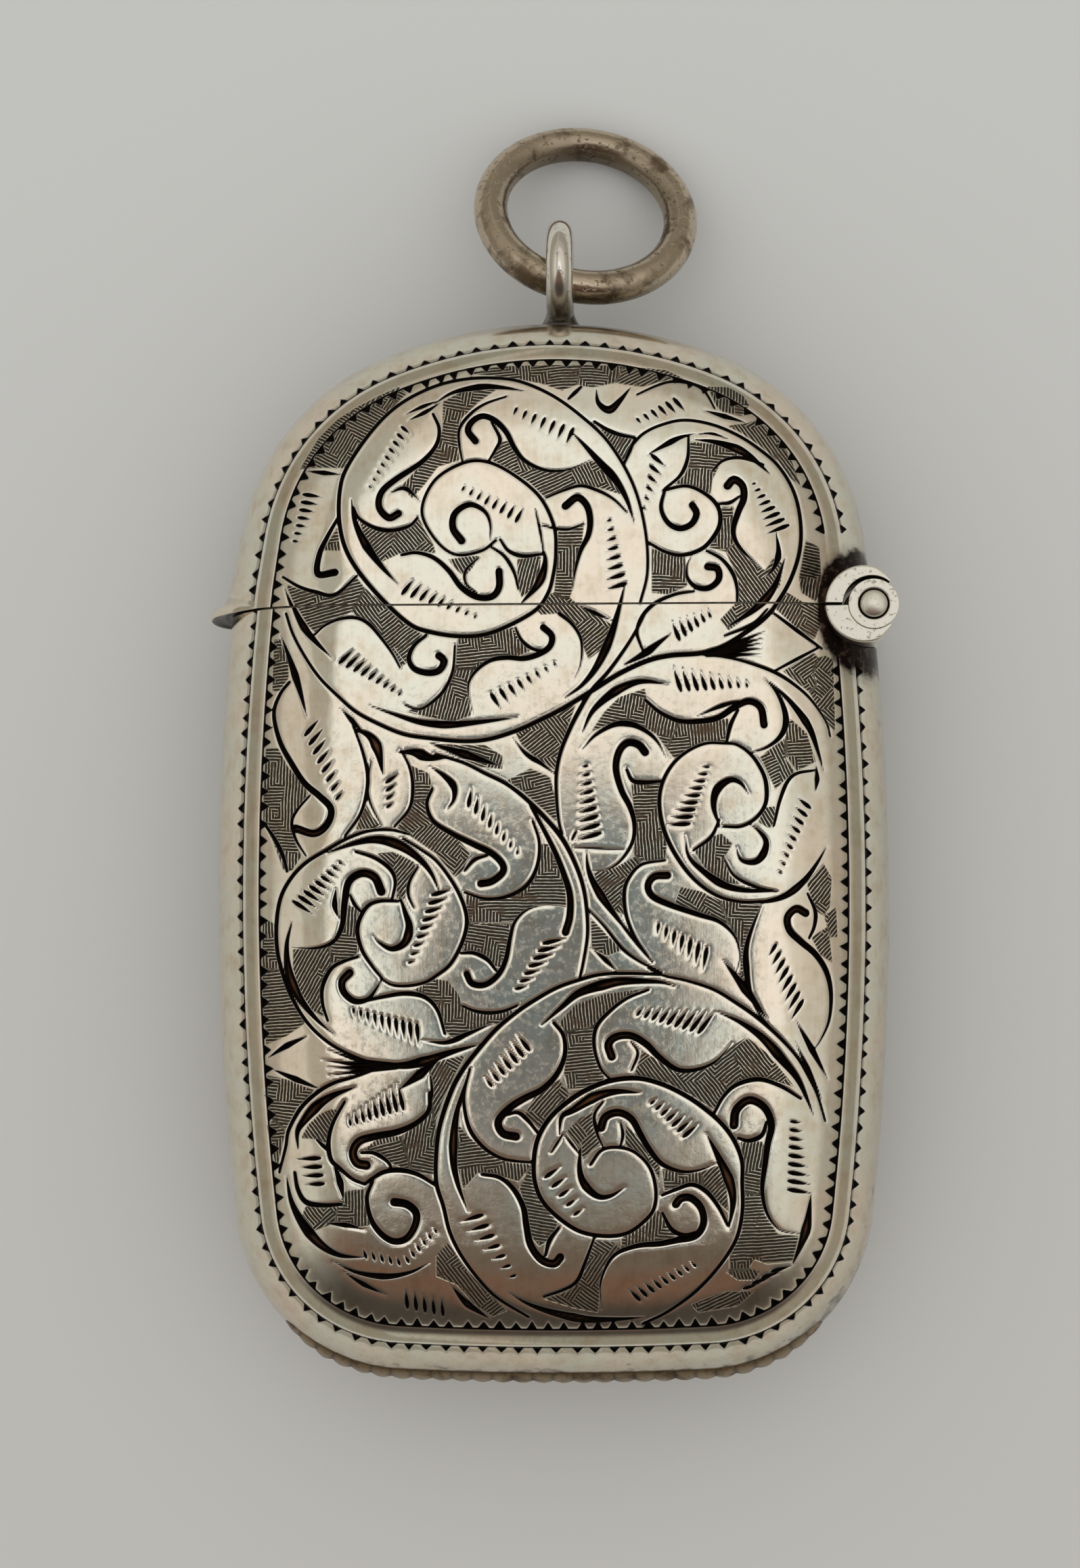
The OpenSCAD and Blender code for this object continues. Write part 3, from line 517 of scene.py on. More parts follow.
middleRightScroll = {
    "cuts": [
        ("line", .2, [(4.5, 12.2), (4.05, 11.3), (3.5, 10.4), (2.7, 9.3), (1.9, 8.4), (1.3, 7.4),
         (.9, 6.6), (.5, 5.6), (.3, 4.6), (.3, 3.5), (.4, 2.4), (.55, 1.8)]),
        ("line", .2, [(8.15, 5.95), (7.2, 5.95), (6.3, 5.55), (5.6, 4.9), (5.15, 4), (5.05, 3),
         (5.3, 1.8), (5.9, .6), (6.7, -.4), (7.7, -1.1), (8.8, -1.38), (9.9, -1.35)]),
        ("swell", .34, [(8.9, -1.4), (10, -1.35), (10.9, -1.05), (11.7, -.4), (12.3, .4), (12.75, 1.15)]),
        ("line", .2, [(8.15, 5.95), (8.6, 5.9), (9.15, 5.55), (9.6, 5), (9.95, 4.2), (9.95, 3.2),
         (9.5, 2.5), (8.8, 2.1), (8, 2.1)]),
        ("swell", .4, [(7.85, 2), (7.55, 3), (7.7, 3.8), (8.3, 4.25), (8.8, 4.1), (9.15, 3.6)]),
        ("line", .17, [(7.8, 2.4), (7.4, 1.6), (6.6, 1)]),
        ("swell", .36, [(6.2, 1.7), (6.4, .7), (7.1, 0), (8, -.6), (9, -.85), (10.5, -.9)]),
        ("swell", .36, [(8.55, 1.15), (8.8, .55), (9.4, .45), (9.8, .8), (9.95, 1.4), (9.6, 1.9),
         (9.2, 2.2)]),
        ("line", .16, [(8, .6), (8.5, -.2), (9.5, -.7), (10.4, -.9)]),
        ("line", .18, [(10.3, 2.1), (10.4, 2.5), (10.6, 3.3), (10.95, 4.15), (11.4, 4.55), (12.2, 4.7)]),
        ("swell", .24, [(12.3, 5), (12.35, 4.3), (12.25, 3.7)]),
        ("hook", .34, [(4.4, 8), (5.1, 7.4), (6, 7), (7, 6.98), (7.8, 7.15), (8.5, 7.6), (9.2, 7.9),
         (9.75, 7.6), (9.9, 6.8)]),
        ("swell", .2, [(6.8, 7.2), (7.7, 7.6), (8.5, 7.85), (9.3, 7.95)]),
        ("line", .2, [(8.7, 7.5), (8.35, 6.8), (8.15, 5.95)]),
        ("swell", .3, [(9.9, 9), (10.5, 8.3), (10.85, 7.5), (10.9, 6.8), (10.6, 6.2), (10, 5.75),
         (9.3, 5.5)]),
        ("swell", .36, [(10.2, 8.8), (11.2, 7.8), (12, 6.7), (12.4, 5.6), (12.65, 4.7)]),
        ("line", .16, [(7, 10.1), (8.2, 9.95), (9.2, 9.7), (10.4, 9.25), (11.3, 8.7), (12.1, 8),
         (12.8, 7), (13, 6.3)]),
        ("swell", .42, [(1.5, 6.5), (2, 7.5), (2.9, 8.3), (3.8, 8.75), (4.5, 8.85), (5.5, 8.7)]),
        ("swell", .3, [(1.5, 5.7), (2.1, 6.35), (3, 6.85), (3.8, 6.85), (4.5, 6.5), (5, 6), (5.35, 5.3)]),
        ("tail", .36, [(4.4, 5.55), (4.1, 5.9), (3.6, 6), (3.2, 5.6), (3.05, 4.8), (3.3, 3.8), (3.7, 3),
         (3.9, 2.2), (3.8, 1.4), (3.3, .6), (2.7, .15), (2, .05)]),
        ("line", .22, [(3.55, 4.75), (3.8, 4.25), (4.3, 4.15), (5.1, 4.2)]),
        ("line", .1, [(1.1, 1.15), (2.3, 1.1), (3.4, 1.05)]),
        ("swell", .4, [(1.65, 1), (1.8, 0), (2.3, -1), (3, -2), (3.6, -2.8)]),
        ("line", .18, [(5.3, .55), (4.2, .35), (3.6, -.3), (3.4, -1), (3.5, -2), (3.9, -3), (4.5, -3.9)]),
        ("tail", .34, [(5.4, -.15), (4.8, -.2), (4.5, -.6), (4.7, -1.1), (5.5, -1.5), (6.8, -1.95),
         (7.8, -2.3), (8.5, -3), (8.7, -3.9), (8.5, -4.7)]),
        ("swell", .42, [(7.95, -4.1), (8.5, -4.8), (9.1, -5.6), (9.9, -6.7)]),
        ("line", .16, [(1.75, -1.7), (2.5, -2.5), (3.3, -3.5), (4.1, -4.1), (5.1, -4.6)]),
        ("line", .14, [(2.3, -1.1), (3, -2), (3.9, -3.2), (4.7, -4.15)]),
        ("swell", .22, [(1.9, -3.5), (2.5, -4), (3.1, -4.6)]),
        ("swell", .3, [(9.75, -1.45), (9.3, -2.5), (9, -3.5), (9, -4.5), (9.15, -5.5), (9.5, -6.4),
         (10, -7)]),
        ("tail", .36, [(11.75, -1.9), (11.3, -1.7), (10.9, -2.1), (11, -2.7), (11.5, -3.2), (12.2, -3.8),
         (12.7, -4.6), (12.9, -5.6), (12.8, -6.8), (12.4, -7.7), (12, -8.25)]),
        ("line", .19, [(11.85, -1), (12.2, -1.8), (12.15, -2.5), (11.9, -3.05)]),
        ("swell", .3, [(11.25, -6.85), (11.9, -8), (12.71, -9.49)]),
        ("swell", .2, [(11.2, -7.8), (11.78, -8.99), (12.43, -10.37)]),
        ("line", .14, [(1.2, 1.9), (1, 1.5)]),
    ],
    "ground": [
        (85, [(6.65, .95), (7.4, 1.6), (7.9, 1.75), (8.4, 1.3), (8, .6), (8.3, -.2), (8.8, -.6),
         (7.9, -.5), (7.1, .2)]),
        (5, [(11.1, 7.1), (11.9, 6.4), (12.3, 5.1), (11.4, 4.65), (10.9, 5.4), (10.9, 6.4)]),
        (25, [(10.9, 6.2), (10.9, 5.2), (11.3, 4.6), (10.8, 4.2), (10.4, 3.8), (9.95, 4.8), (9.7, 5.3),
         (10.2, 5.7)]),
        (120, [(9.85, 2.95), (10.35, 3), (10.45, 2.4), (10.1, 2), (9.6, 2.3)]),
        (80, [(1.9, 6.5), (2.5, 7.4), (3.2, 8.1), (4.4, 8.5), (4.5, 8), (5.2, 7.35), (6, 7), (5.4, 5.7),
         (4.9, 6.4), (4.2, 6.8), (3.4, 6.95), (2.6, 6.8)]),
        (95, [(6, 7), (7, 6.9), (8.3, 7.1), (8.1, 6), (7.2, 6.05), (6.3, 5.65), (5.8, 5.2), (5.4, 5.7)]),
        (3, [(3.75, 4.1), (5.1, 4.1), (5, 3.2), (5.1, 2.2), (5.4, 1.4), (5.3, .5), (4.2, .5), (3.8, .9),
         (4, 2), (3.85, 3)]),
        (130, [(2, 0), (3, .2), (3.9, .7), (4.2, .45), (3.6, -.2), (3.45, -1), (3.45, -2), (2.8, -1.7),
         (2.2, -.8)]),
        (60, [(6, -.7), (6.9, -.9), (7.8, -1.3), (8.2, -2.5), (7.6, -2.2), (6.6, -1.85), (5.7, -1.5)]),
        (178, [(7.8, -1.3), (9.75, -1.5), (9.3, -2.4), (9, -3.6), (8.95, -4.7), (8.7, -4.6), (8.75, -3.5),
         (8.3, -2.6)]),
        (50, [(11.8, -.5), (12.6, .4), (13, -.3), (12.9, -1.6), (12.6, -2), (12.2, -1.8)]),
        (45, [(12, -3), (12.8, -2.5), (13, -4.2), (12.4, -3.8)]),
        (50, [(11.5, 9.6), (12.8, 10.1), (13.2, 9.9), (13.25, 6.5), (12.8, 7), (12.25, 7.95), (11.7, 8.9)]),
        (48, [(12.6, -2), (13.2, -1.6), (13.25, -3), (12.9, -3)]),
        (140, [(8.6, -4.7), (9, -4.5), (9.2, -5.5), (9.7, -6.4), (9.2, -5.8)]),
        (5, [(1.85, -2.1), (2.6, -2.9), (3.3, -3.6), (2.6, -3.85), (1.9, -3.5)]),
    ],
    "ticks": [
        ((5.9, 2.2), (7.2, 4.85), 9, (1.05, .3), 183),
        ((11.7, 3.2), (10.55, 0), 9, (.8, .22), 142),
        ((5.9, 8.95), (9.1, 8.7), 9, (1.15, .3), 108),
        ((1.6, 4.9), (1.8, 1.65), 9, (.3, 1.1), 198),
        ((10.2, -3.6), (11.3, -6.35), 8, (.65, 1.05), 238),
        ((4.95, -2.6), (7.1, -4), 7, (.48, 1.05), -100),
    ],
}
middleLeftScroll = {
    "cuts": [
        ("line", .21, [(-5.3, 5.5), (-4, 5.1), (-3, 4.6), (-2, 4.1), (-1.1, 3.4), (-.2, 2.5), (.6, 1.5),
         (1.2, .3), (1.55, -.8), (1.7, -2), (1.7, -3), (1.5, -4.2), (1.35, -4.85)]),
        ("hook", .34, [(-.9, 3.1), (-.3, 2), (.2, 1), (.6, 0), (.9, -1), (.9, -2), (.7, -2.75)]),
        ("swell", .42, [(-5.5, 6), (-4.4, 5.65), (-3.2, 5.25), (-2.3, 4.95)]),
        ("swell", .24, [(-1.7, 6.2), (-1.1, 5.5), (-.4, 5.05), (.3, 4.5)]),
        ("swell", .34, [(-5.5, 4.9), (-4.9, 4.5), (-4.45, 4), (-4.45, 3.4), (-4.75, 2.95)]),
        ("hook", .34, [(-5.45, 3.9), (-5.7, 3.2), (-5.4, 2.4), (-4.5, 1.8), (-3.5, 1.3), (-2.7, .9),
         (-2.2, .4), (-2.2, 0), (-2.7, -.4), (-3.2, -.5)]),
        ("line", .18, [(-3.95, .1), (-3.5, .6), (-2.9, .8)]),
        ("line", .19, [(-3.95, -.9), (-3, -1.2), (-2, -1.1), (-1.1, -.6), (-.6, .3), (-.5, 1.4),
         (-.8, 2.4)]),
        ("line", .19, [(-6.8, 1.6), (-6, 1.1), (-5.2, .5), (-4.4, -.6), (-3.95, -1.6), (-3.85, -2.4),
         (-4.1, -3.3), (-4.6, -4.2), (-5.2, -4.7), (-5.8, -5.05), (-6.6, -5.2), (-7.3, -5.15),
         (-7.8, -4.85)]),
        ("line", .2, [(-6.5, 1.8), (-7.4, 2), (-8.4, 1.95), (-9.4, 1.6), (-10.3, 1.1), (-11.3, .5),
         (-12, -.2), (-12.5, -1.1), (-12.7, -2.3), (-12.65, -3.6), (-12.3, -4.9), (-11.8, -6),
         (-11.1, -7), (-10.2, -7.8), (-9.2, -8.35), (-8.2, -8.7), (-7, -8.85)]),
        ("swell", .46, [(-8.6, -8.6), (-7, -8.85), (-5.8, -8.65), (-4.6, -8.25), (-3.3, -7.9)]),
        ("swell", .46, [(-10.3, .95), (-9, 1.4), (-8, 1.55), (-7, 1.3), (-6.1, .7), (-5.5, 0), (-5.1, -.9)]),
        ("line", .2, [(-9, 1), (-8.1, .7), (-7.4, .2), (-7.15, -.4), (-7.3, -1.2)]),
        ("tail", .4, [(-7.8, -.85), (-8.1, -.2), (-8.7, 0), (-9.3, -.4), (-9.5, -1.4), (-9.6, -2.4),
         (-10, -3.15), (-10.8, -3.45), (-11.9, -3.4)]),
        ("swell", .28, [(-9.9, -.7), (-9.95, -1.5), (-9.75, -2.1)]),
        ("line", .18, [(-9.25, -1), (-9, -1.5), (-8.7, -1.8)]),
        ("line", .21, [(-7, -1.3), (-7.9, -1.3), (-8.5, -1.6), (-8.9, -2.5), (-8.7, -3.5), (-8.2, -4.3),
         (-7.75, -4.85)]),
        ("swell", .42, [(-7, -.9), (-6.7, -1.8), (-6.5, -2.5), (-6.7, -3.2), (-7.3, -3.5), (-7.9, -3.2),
         (-8.15, -2.9)]),
        ("swell", .44, [(-11.95, -2.2), (-12.2, -3.3), (-12.1, -4.5), (-11.6, -5.7), (-10.8, -6.7),
         (-10, -7.4)]),
        ("line", .21, [(-8.85, -3.85), (-9.5, -4.05), (-10.1, -4.4), (-10.5, -5.2), (-10.5, -6),
         (-10.25, -6.8)]),
        ("tail", .38, [(-9.25, -4.6), (-9.6, -5), (-9.5, -5.5), (-9, -5.9), (-8.4, -5.8), (-8, -5.3),
         (-7.75, -4.85)]),
        ("line", .22, [(-8.6, -5.9), (-7.7, -5.7), (-6.7, -5.55), (-5.8, -5.7), (-5.2, -6.3),
         (-4.85, -7.4)]),
        ("swell", .26, [(-5.9, -7.7), (-4.8, -7.8), (-3.8, -7.4), (-2.6, -6.9)]),
        ("line", .16, [(-6.1, .3), (-6.5, -.4), (-6.55, -1), (-6.3, -1.6)]),
        ("swell", .28, [(-13.1, -8.5), (-12.2, -7.95), (-11.2, -7.5)]),
        ("swell", .28, [(-12.91, -9), (-11.95, -9.39), (-10.55, -9.94)]),
        ("tail", .26, [(-7.1, -8.85), (-8.8, -8.6), (-10.2, -8.15)]),
        ("tail", .28, [(-7.1, -8.87), (-8.8, -8.8), (-10.5, -8.6)]),
        ("tail", .28, [(-7.1, -8.89), (-8.7, -8.95), (-10.2, -8.95)]),
        ("tail", .26, [(-7.1, -8.9), (-8.69, -9.1), (-10.17, -9.29)]),
        ("tail", .3, [(-3.85, -4.65), (-3.6, -5.1), (-3, -5.15), (-2.4, -4.7), (-2.05, -4), (-1.85, -3),
         (-1.65, -2.3), (-1.2, -1.8), (-.6, -1.55), (.1, -1.5)]),
        ("line", .21, [(-4.1, -3.7), (-3.5, -3.7), (-2.9, -4), (-2.5, -4.5)]),
        ("line", .18, [(-4.1, -6.1), (-3.5, -6.35), (-2.8, -6.45), (-2.1, -6.35), (-1.5, -6.1)]),
        ("hook", .36, [(-12.15, 8.95), (-12.6, 8.4), (-12.9, 7.5), (-12.6, 6.2), (-12, 5.1), (-11.4, 4.2),
         (-10.7, 3.6), (-10.15, 3), (-10.3, 2.3), (-10.9, 1.85), (-11.8, 2.1)]),
        ("line", .16, [(-11.15, 3.6), (-11.7, 3), (-12, 2.4), (-11.8, 1.6), (-11.3, .8)]),
        ("line", .18, [(-9.15, 6.9), (-8.7, 5.7), (-8.45, 4.6), (-8.5, 3.7), (-8.8, 2.7), (-9.5, 1.7)]),
        ("line", .22, [(-13.25, 2.25), (-12.8, 1.6), (-12.4, .8), (-12.2, .1)]),
        ("swell", .24, [(-9.7, 7.65), (-9.1, 7), (-8.6, 6.5)]),
        ("swell", .5, [(-9.1, 6.7), (-8.4, 6.4), (-8, 5.8), (-7.75, 4.6)]),
        ("line", .12, [(-8.3, 5.2), (-8.45, 4), (-8.3, 3.2), (-7.8, 2.2)]),
        ("line", .17, [(-6.9, 5.7), (-6.5, 4.9), (-6.35, 4), (-6.5, 3), (-7.2, 2.15)]),
        ("swell", .5, [(-7, 5.6), (-6.3, 5.6), (-5.6, 5.35), (-4.9, 5.3)]),
    ],
    "ground": [
        (88, [(-13.3, 5.9), (-12.7, 5.9), (-12.2, 5), (-11.5, 4.2), (-11.2, 3.7), (-11.7, 3), (-12, 2.3),
         (-11.8, 1.4), (-11.5, .8), (-12, .1), (-12.4, .2), (-12.9, 1.5), (-13.4, 2.4), (-13.4, 4)]),
        (120, [(-8.5, 3.2), (-8.2, 2.6), (-7.75, 2.1), (-9, 2), (-8.8, 2.6)]),
        (3, [(-6.5, 5), (-5.6, 4.6), (-5.5, 4.2), (-5.6, 3.4), (-6.4, 3.3), (-6.3, 4)]),
        (140, [(-6.4, 3.3), (-5.6, 3.4), (-5.6, 2.7), (-5.1, 2), (-4.2, 1.5), (-3.7, .9), (-4, .1),
         (-4.4, -.2), (-5.3, .9), (-6.3, 1.6), (-7.1, 2.1), (-6.5, 2.9)]),
        (128, [(-1.6, 6.5), (-.5, 7), (.5, 7.5), (1.2, 7.8), (.8, 6.6), (.45, 5.4), (.3, 4.7), (-.5, 5.2),
         (-1.3, 5.9)]),
        (12, [(-2, 4.25), (-.9, 4.8), (0, 4.4), (.3, 3.4), (.35, 2.3), (-.3, 2.9), (-1.2, 3.7)]),
        (165, [(-5.5, 5.95), (-3, 5.9), (-2.2, 5.4), (-2.2, 4.8), (-3.2, 4.9), (-4.6, 5.5)]),
        (0, [(-3.9, -.95), (-2.8, -1.25), (-1.5, -1), (-.7, 0), (-.45, 1.3), (-.1, 1.3), (.3, .5),
         (.7, -.7), (.75, -1.6), (-.2, -1.5), (-1.1, -1.7), (-1.7, -2.3), (-3.85, -2.3)]),
        (82, [(-3.85, -2.3), (-1.7, -2.4), (-1.95, -3.5), (-2.2, -4.4), (-2.6, -4.3), (-3.2, -3.8),
         (-4.1, -3.6)]),
        (85, [(-9.5, -1.4), (-8.8, -1.7), (-8.95, -2.5), (-8.8, -3.6), (-9.1, -3.9), (-10.1, -4.2),
         (-10.2, -3.3), (-9.65, -2.4)]),
        (60, [(-10.1, -4.3), (-10.5, -5), (-10.6, -5.8), (-10.4, -6.7), (-11, -6.3), (-11.6, -5.4),
         (-11.9, -4.4), (-11.9, -3.5), (-10.8, -3.5), (-10.2, -3.3)]),
        (50, [(-8, .9), (-7.2, .95), (-6.3, .5), (-6.15, .2), (-6.6, -.5), (-6.7, -1.2), (-7.1, -1.2),
         (-7.1, -.4), (-7.4, .3)]),
        (92, [(-13.4, -2), (-12.8, -2.3), (-12.8, -3.4), (-12.5, -4.4), (-13.4, -4.4)]),
        (5, [(-13.4, -4.4), (-12.5, -4.4), (-11.9, -6), (-11.3, -6.9), (-12.2, -7.5), (-13.2, -7.9),
         (-13.4, -6)]),
        (88, [(-5.3, -4.9), (-4.7, -5), (-4.2, -5.6), (-4, -6.2), (-2.8, -6.55), (-1.6, -6.3),
         (-2.2, -6.9), (-3.5, -7.2), (-4.5, -7.6), (-4.9, -7.2), (-5.1, -6.4), (-5.7, -5.7), (-6.3, -5.4)]),
    ],
    "ticks": [
        ((-11.05, 6.8), (-9.75, 3.6), 8, (1, .48), 48),
        ((-7.3, 4.4), (-7.4, 3.15), 4, (.68, .38), 35),
        ((-3.7, 3.5), (-1.5, 1), 8, (.85, .28), 80),
        ((-11.4, -1.6), (-9.65, .45), 9, (1.2, .3), -33),
        ((-9.05, -6.4), (-6.1, -7.45), 10, (.38, 1), -85),
        ((-5, -.9), (-6.4, -4.1), 9, (.92, .3), 15),
        ((.2, -3.15), (-1.35, -5.3), 7, (1.05, .5), 12),
    ],
}
lowerScroll = {
    "cuts": [
        ("line", .22, [(5, -4.7), (3.5, -4.65), (2.3, -4.7), (1.3, -4.95), (.3, -5.3), (-.7, -5.85),
         (-1.6, -6.45), (-2.5, -7.2), (-3.3, -8.1), (-4, -9), (-4.55, -10), (-5.08, -11.59),
         (-5.25, -12.96), (-5.23, -14.2), (-4.91, -15.26), (-4.62, -16.41), (-4.1, -17.47),
         (-3.33, -18.53), (-2.47, -19.41), (-1.04, -20.3)]),
        ("line", .18, [(4.5, -4.4), (5.2, -4.75), (6.3, -5), (7.5, -5.4), (8.5, -6), (9.5, -6.7),
         (10.5, -7.6), (11.3, -8.5), (11.87, -9.49), (12.24, -10.28), (12.58, -11.42)]),
        ("swell", .48, [(-.4, -7), (.5, -6.2), (1.3, -5.55), (2.5, -5.15), (3.5, -5), (5, -5.05),
         (5.7, -5.25)]),
        ("swell", .46, [(7.7, -6.45), (8.7, -6.9), (9.7, -7.6), (10.6, -8.6), (11.37, -9.59),
         (12.04, -11.15)]),
        ("swell", .42, [(-3.85, -9.4), (-4.34, -11.2), (-4.46, -12.97), (-4.26, -14.21), (-3.79, -15.49)]),
        ("hook", .38, [(.15, -6.9), (.6, -7.5), (.65, -8.4), (.25, -9.3), (-.4, -9.95), (-1.2, -10.35),
         (-1.9, -10.8), (-2.4, -11.4), (-2.19, -11.94), (-1.59, -12.09)]),
        ("line", .19, [(-3.7, -9), (-3.95, -10), (-3.95, -10.8), (-3.69, -11.79), (-3.08, -12.58),
         (-2.28, -13.07), (-1.48, -13.22), (-.78, -13.27)]),
        ("line", .2, [(-2, -11.1), (-1.5, -11), (-1, -11.4), (-.59, -11.94)]),
        ("line", .23, [(1.81, -13.37), (2.3, -12.73), (3, -12.58), (3.8, -12.78), (4.49, -13.45),
         (4.78, -14.39), (4.71, -15.33), (4.26, -15.93), (3.49, -16.46), (2.53, -16.6), (1.38, -16.41),
         (.42, -15.83), (-.34, -15.08), (-.71, -14.24), (-.78, -13.27), (-.59, -12.19), (0, -11.2),
         (1, -10.35), (2, -9.8), (3, -9.5), (4.1, -9.45), (5.2, -9.75), (6.2, -10.25), (6.99, -10.79),
         (7.78, -11.48), (8.36, -12.26), (8.72, -13.2), (8.73, -14.2), (8.73, -15.45), (8.49, -16.6),
         (8.01, -17.47), (7.34, -18.34), (6.57, -19.12), (5.81, -19.71), (5.04, -20.2), (4.17, -20.61)]),
        ("swell", .38, [(1.4, -12.39), (1.31, -13.46), (1.52, -14.23), (2.12, -14.79), (2.71, -14.79),
         (3.35, -14.41)]),
        ("swell", .48, [(.4, -11.99), (.5, -11.2), (1, -10.9), (2, -10.3), (3, -10.05), (4.1, -10.1)]),
        ("line", .12, [(.55, -11.99), (.01, -12.83)]),
        ("line", .14, [(.65, -12.04), (1.31, -12.88)]),
        ("tail", .38, [(2.3, -11.69), (2.5, -11.2), (3.1, -11), (3.7, -11.3), (4.1, -11.99),
         (4.5, -12.67), (5.09, -13.35), (5.97, -13.68), (6.76, -13.62), (7.55, -13.32)]),
        ("line", .16, [(2.4, -10.5), (2, -11.1), (2.1, -11.89), (2.4, -12.58)]),
        ("line", .16, [(3.2, -11.49), (3.3, -11.99), (3.2, -12.48)]),
        ("swell", .5, [(7.13, -11.98), (7.75, -13.22), (8.16, -14.18), (8.3, -15.06), (8.11, -16.22)]),
        ("line", .22, [(5.07, -14.75), (5.76, -14.47), (6.45, -14.27), (7.09, -14.58), (7.63, -15.26),
         (8.06, -16.12)]),
        ("tail", .36, [(5.7, -15.16), (5.93, -14.89), (6.4, -14.88), (6.86, -15.35), (6.95, -16.03),
         (6.57, -16.6), (5.7, -16.79), (4.94, -16.94), (3.97, -17.03), (3.01, -17.37), (2.53, -17.95),
         (2.24, -18.82), (2.29, -19.9)]),
        ("line", .22, [(5.08, -15.55), (5.51, -16.31), (6.09, -16.55), (6.66, -16.41)]),
        ("hook", .38, [(-3.15, -13.8), (-2.36, -13.94), (-1.75, -14.42), (-1.27, -15.25), (-1.12, -16.12),
         (-.93, -16.99), (-.45, -17.66), (.13, -17.85), (.42, -17.56)]),
        ("line", .22, [(.37, -16.22), (-.06, -16.79), (-.25, -17.47)]),
        ("line", .18, [(-.35, -19.36), (.61, -19.02), (1.19, -18.63), (1.57, -17.76), (2, -16.6)]),
        ("swell", .42, [(-1.89, -19.21), (-1.03, -19.7), (.12, -20.1), (1.57, -20.4), (3.01, -20.4),
         (4.27, -20.3)]),
        ("line", .19, [(4.5, -5.4), (3.5, -5.8), (2.7, -6.4), (2.1, -7.1), (2, -8), (2.3, -9),
         (2.8, -9.55)]),
        ("tail", .38, [(2.8, -8.45), (2.65, -7.9), (3, -7.55), (3.7, -7.5), (4.4, -7.9), (5, -8.5),
         (5.8, -9.05), (6.7, -9.05), (7.6, -8.65), (8.3, -7.85)]),
        ("line", .14, [(3.7, -7.8), (4, -8.3), (3.7, -9.1)]),
        ("tail", .4, [(8.37, -11.57), (8.48, -10.89), (9.08, -10.44), (9.77, -10.78), (10.09, -11.56),
         (9.91, -12.42), (9.78, -13.33), (9.64, -14.49), (9.84, -15.55), (10.42, -16.32), (11.3, -16.53)]),
        ("line", .22, [(9.85, -11.46), (9.63, -12.05), (9.04, -12.29), (8.56, -12.16)]),
        ("line", .22, [(7.49, -10.99), (7.89, -10.29), (8.49, -9.75), (9.49, -9.49), (10.48, -9.79),
         (11.45, -10.38)]),
        ("swell", .46, [(11.88, -14.8), (11.69, -16.15), (11.4, -17.02), (11.02, -17.89)]),
    ],
    "ground": [
        (40, [(.7, -11.89), (1.3, -11.3), (1.9, -11), (2, -11.79), (2.3, -12.48), (1.81, -12.78),
         (1.51, -13.17), (1.21, -12.58)]),
        (128, [(3.4, -11.59), (3.9, -11.99), (4.4, -12.77), (4.99, -13.45), (4.98, -14.21),
         (4.69, -13.55), (4, -12.87), (3.4, -12.48)]),
        (88, [(5.09, -13.54), (6.17, -13.81), (6.85, -13.71), (6.92, -14.34), (6.45, -14.18),
         (5.17, -14.57)]),
        (45, [(6.85, -13.71), (7.64, -13.41), (8.01, -14.3), (8.11, -15.55), (7.53, -14.97),
         (6.92, -14.34)]),
        (85, [(3.21, -16.7), (4.26, -16.12), (4.84, -15.45), (5.13, -15.64), (5.51, -16.41),
         (6.09, -16.7), (4.45, -16.99), (3.21, -17.27)]),
        (8, [(-4.29, -11.49), (-3.78, -12.09), (-2.98, -12.78), (-1.97, -13.27), (-.88, -13.37),
         (-1.46, -14.14), (-2.46, -13.85), (-3.35, -13.75), (-4, -14.5), (-4.35, -13.16)]),
        (80, [(-.88, -13.37), (-.76, -14.33), (-.23, -15.34), (.32, -16.03), (.04, -16.7), (-.54, -17.08),
         (-.93, -16.6), (-1.11, -15.43), (-1.45, -14.42)]),
        (145, [(1.96, -16.79), (2.82, -16.89), (3.21, -17.18), (2.63, -17.85), (2.24, -18.82),
         (2.15, -20.1), (1.09, -19.9), (-.36, -19.46), (.8, -19.11), (1.38, -18.43)]),
        (60, [(-5.6, -8.9), (-4.9, -8.6), (-3.9, -8.4), (-4.4, -9.3), (-4.99, -10.6), (-5.38, -11.79),
         (-5.5, -10.2)]),
        (80, [(-5.49, -10.4), (-5.17, -11.98), (-5.31, -13.83), (-6.38, -13.67), (-6.85, -12.07),
         (-5.98, -11.49)]),
        (15, [(-6.85, -12.07), (-6.38, -13.67), (-7.27, -13.32), (-8.56, -12.73), (-7.92, -12.16)]),
        (3, [(8.78, -14.68), (9.64, -14.68), (9.74, -15.64), (10.32, -16.52), (11.3, -16.63),
         (11.01, -17.79), (9.85, -17.87), (9.26, -17.67), (8.79, -18.44), (8.11, -18.15), (8.11, -17.57),
         (8.68, -16.41)]),
        (80, [(8.65, -12.35), (9.62, -12.33), (9.97, -12.88), (9.74, -14.68), (8.83, -14.68),
         (8.8, -13.38)]),
        (95, [(.4, -6.9), (1.1, -6.1), (2.5, -5.6), (4.2, -5.4), (2.9, -6.2), (2.1, -7.1), (.7, -7.4)]),
        (5, [(.6, -7.3), (2.1, -7), (1.95, -8.2), (2.5, -9.5), (1.5, -9.9), (.8, -9.95), (.6, -9.2),
         (.75, -8.2)]),
        (48, [(.4, -9.5), (.9, -10.2), (.2, -11), (-.5, -11.79), (-1.2, -11.1), (-.7, -10.2)]),
        (128, [(4.2, -8.2), (5, -8.7), (5.8, -9.2), (7.2, -9), (8.3, -8), (9, -7.6), (10, -8.4),
         (11.17, -9.89), (10.18, -9.54), (8.79, -9.55), (7.89, -10.19), (7.49, -10.89), (6.4, -10.2),
         (5.3, -9.65), (3.8, -9.35)]),
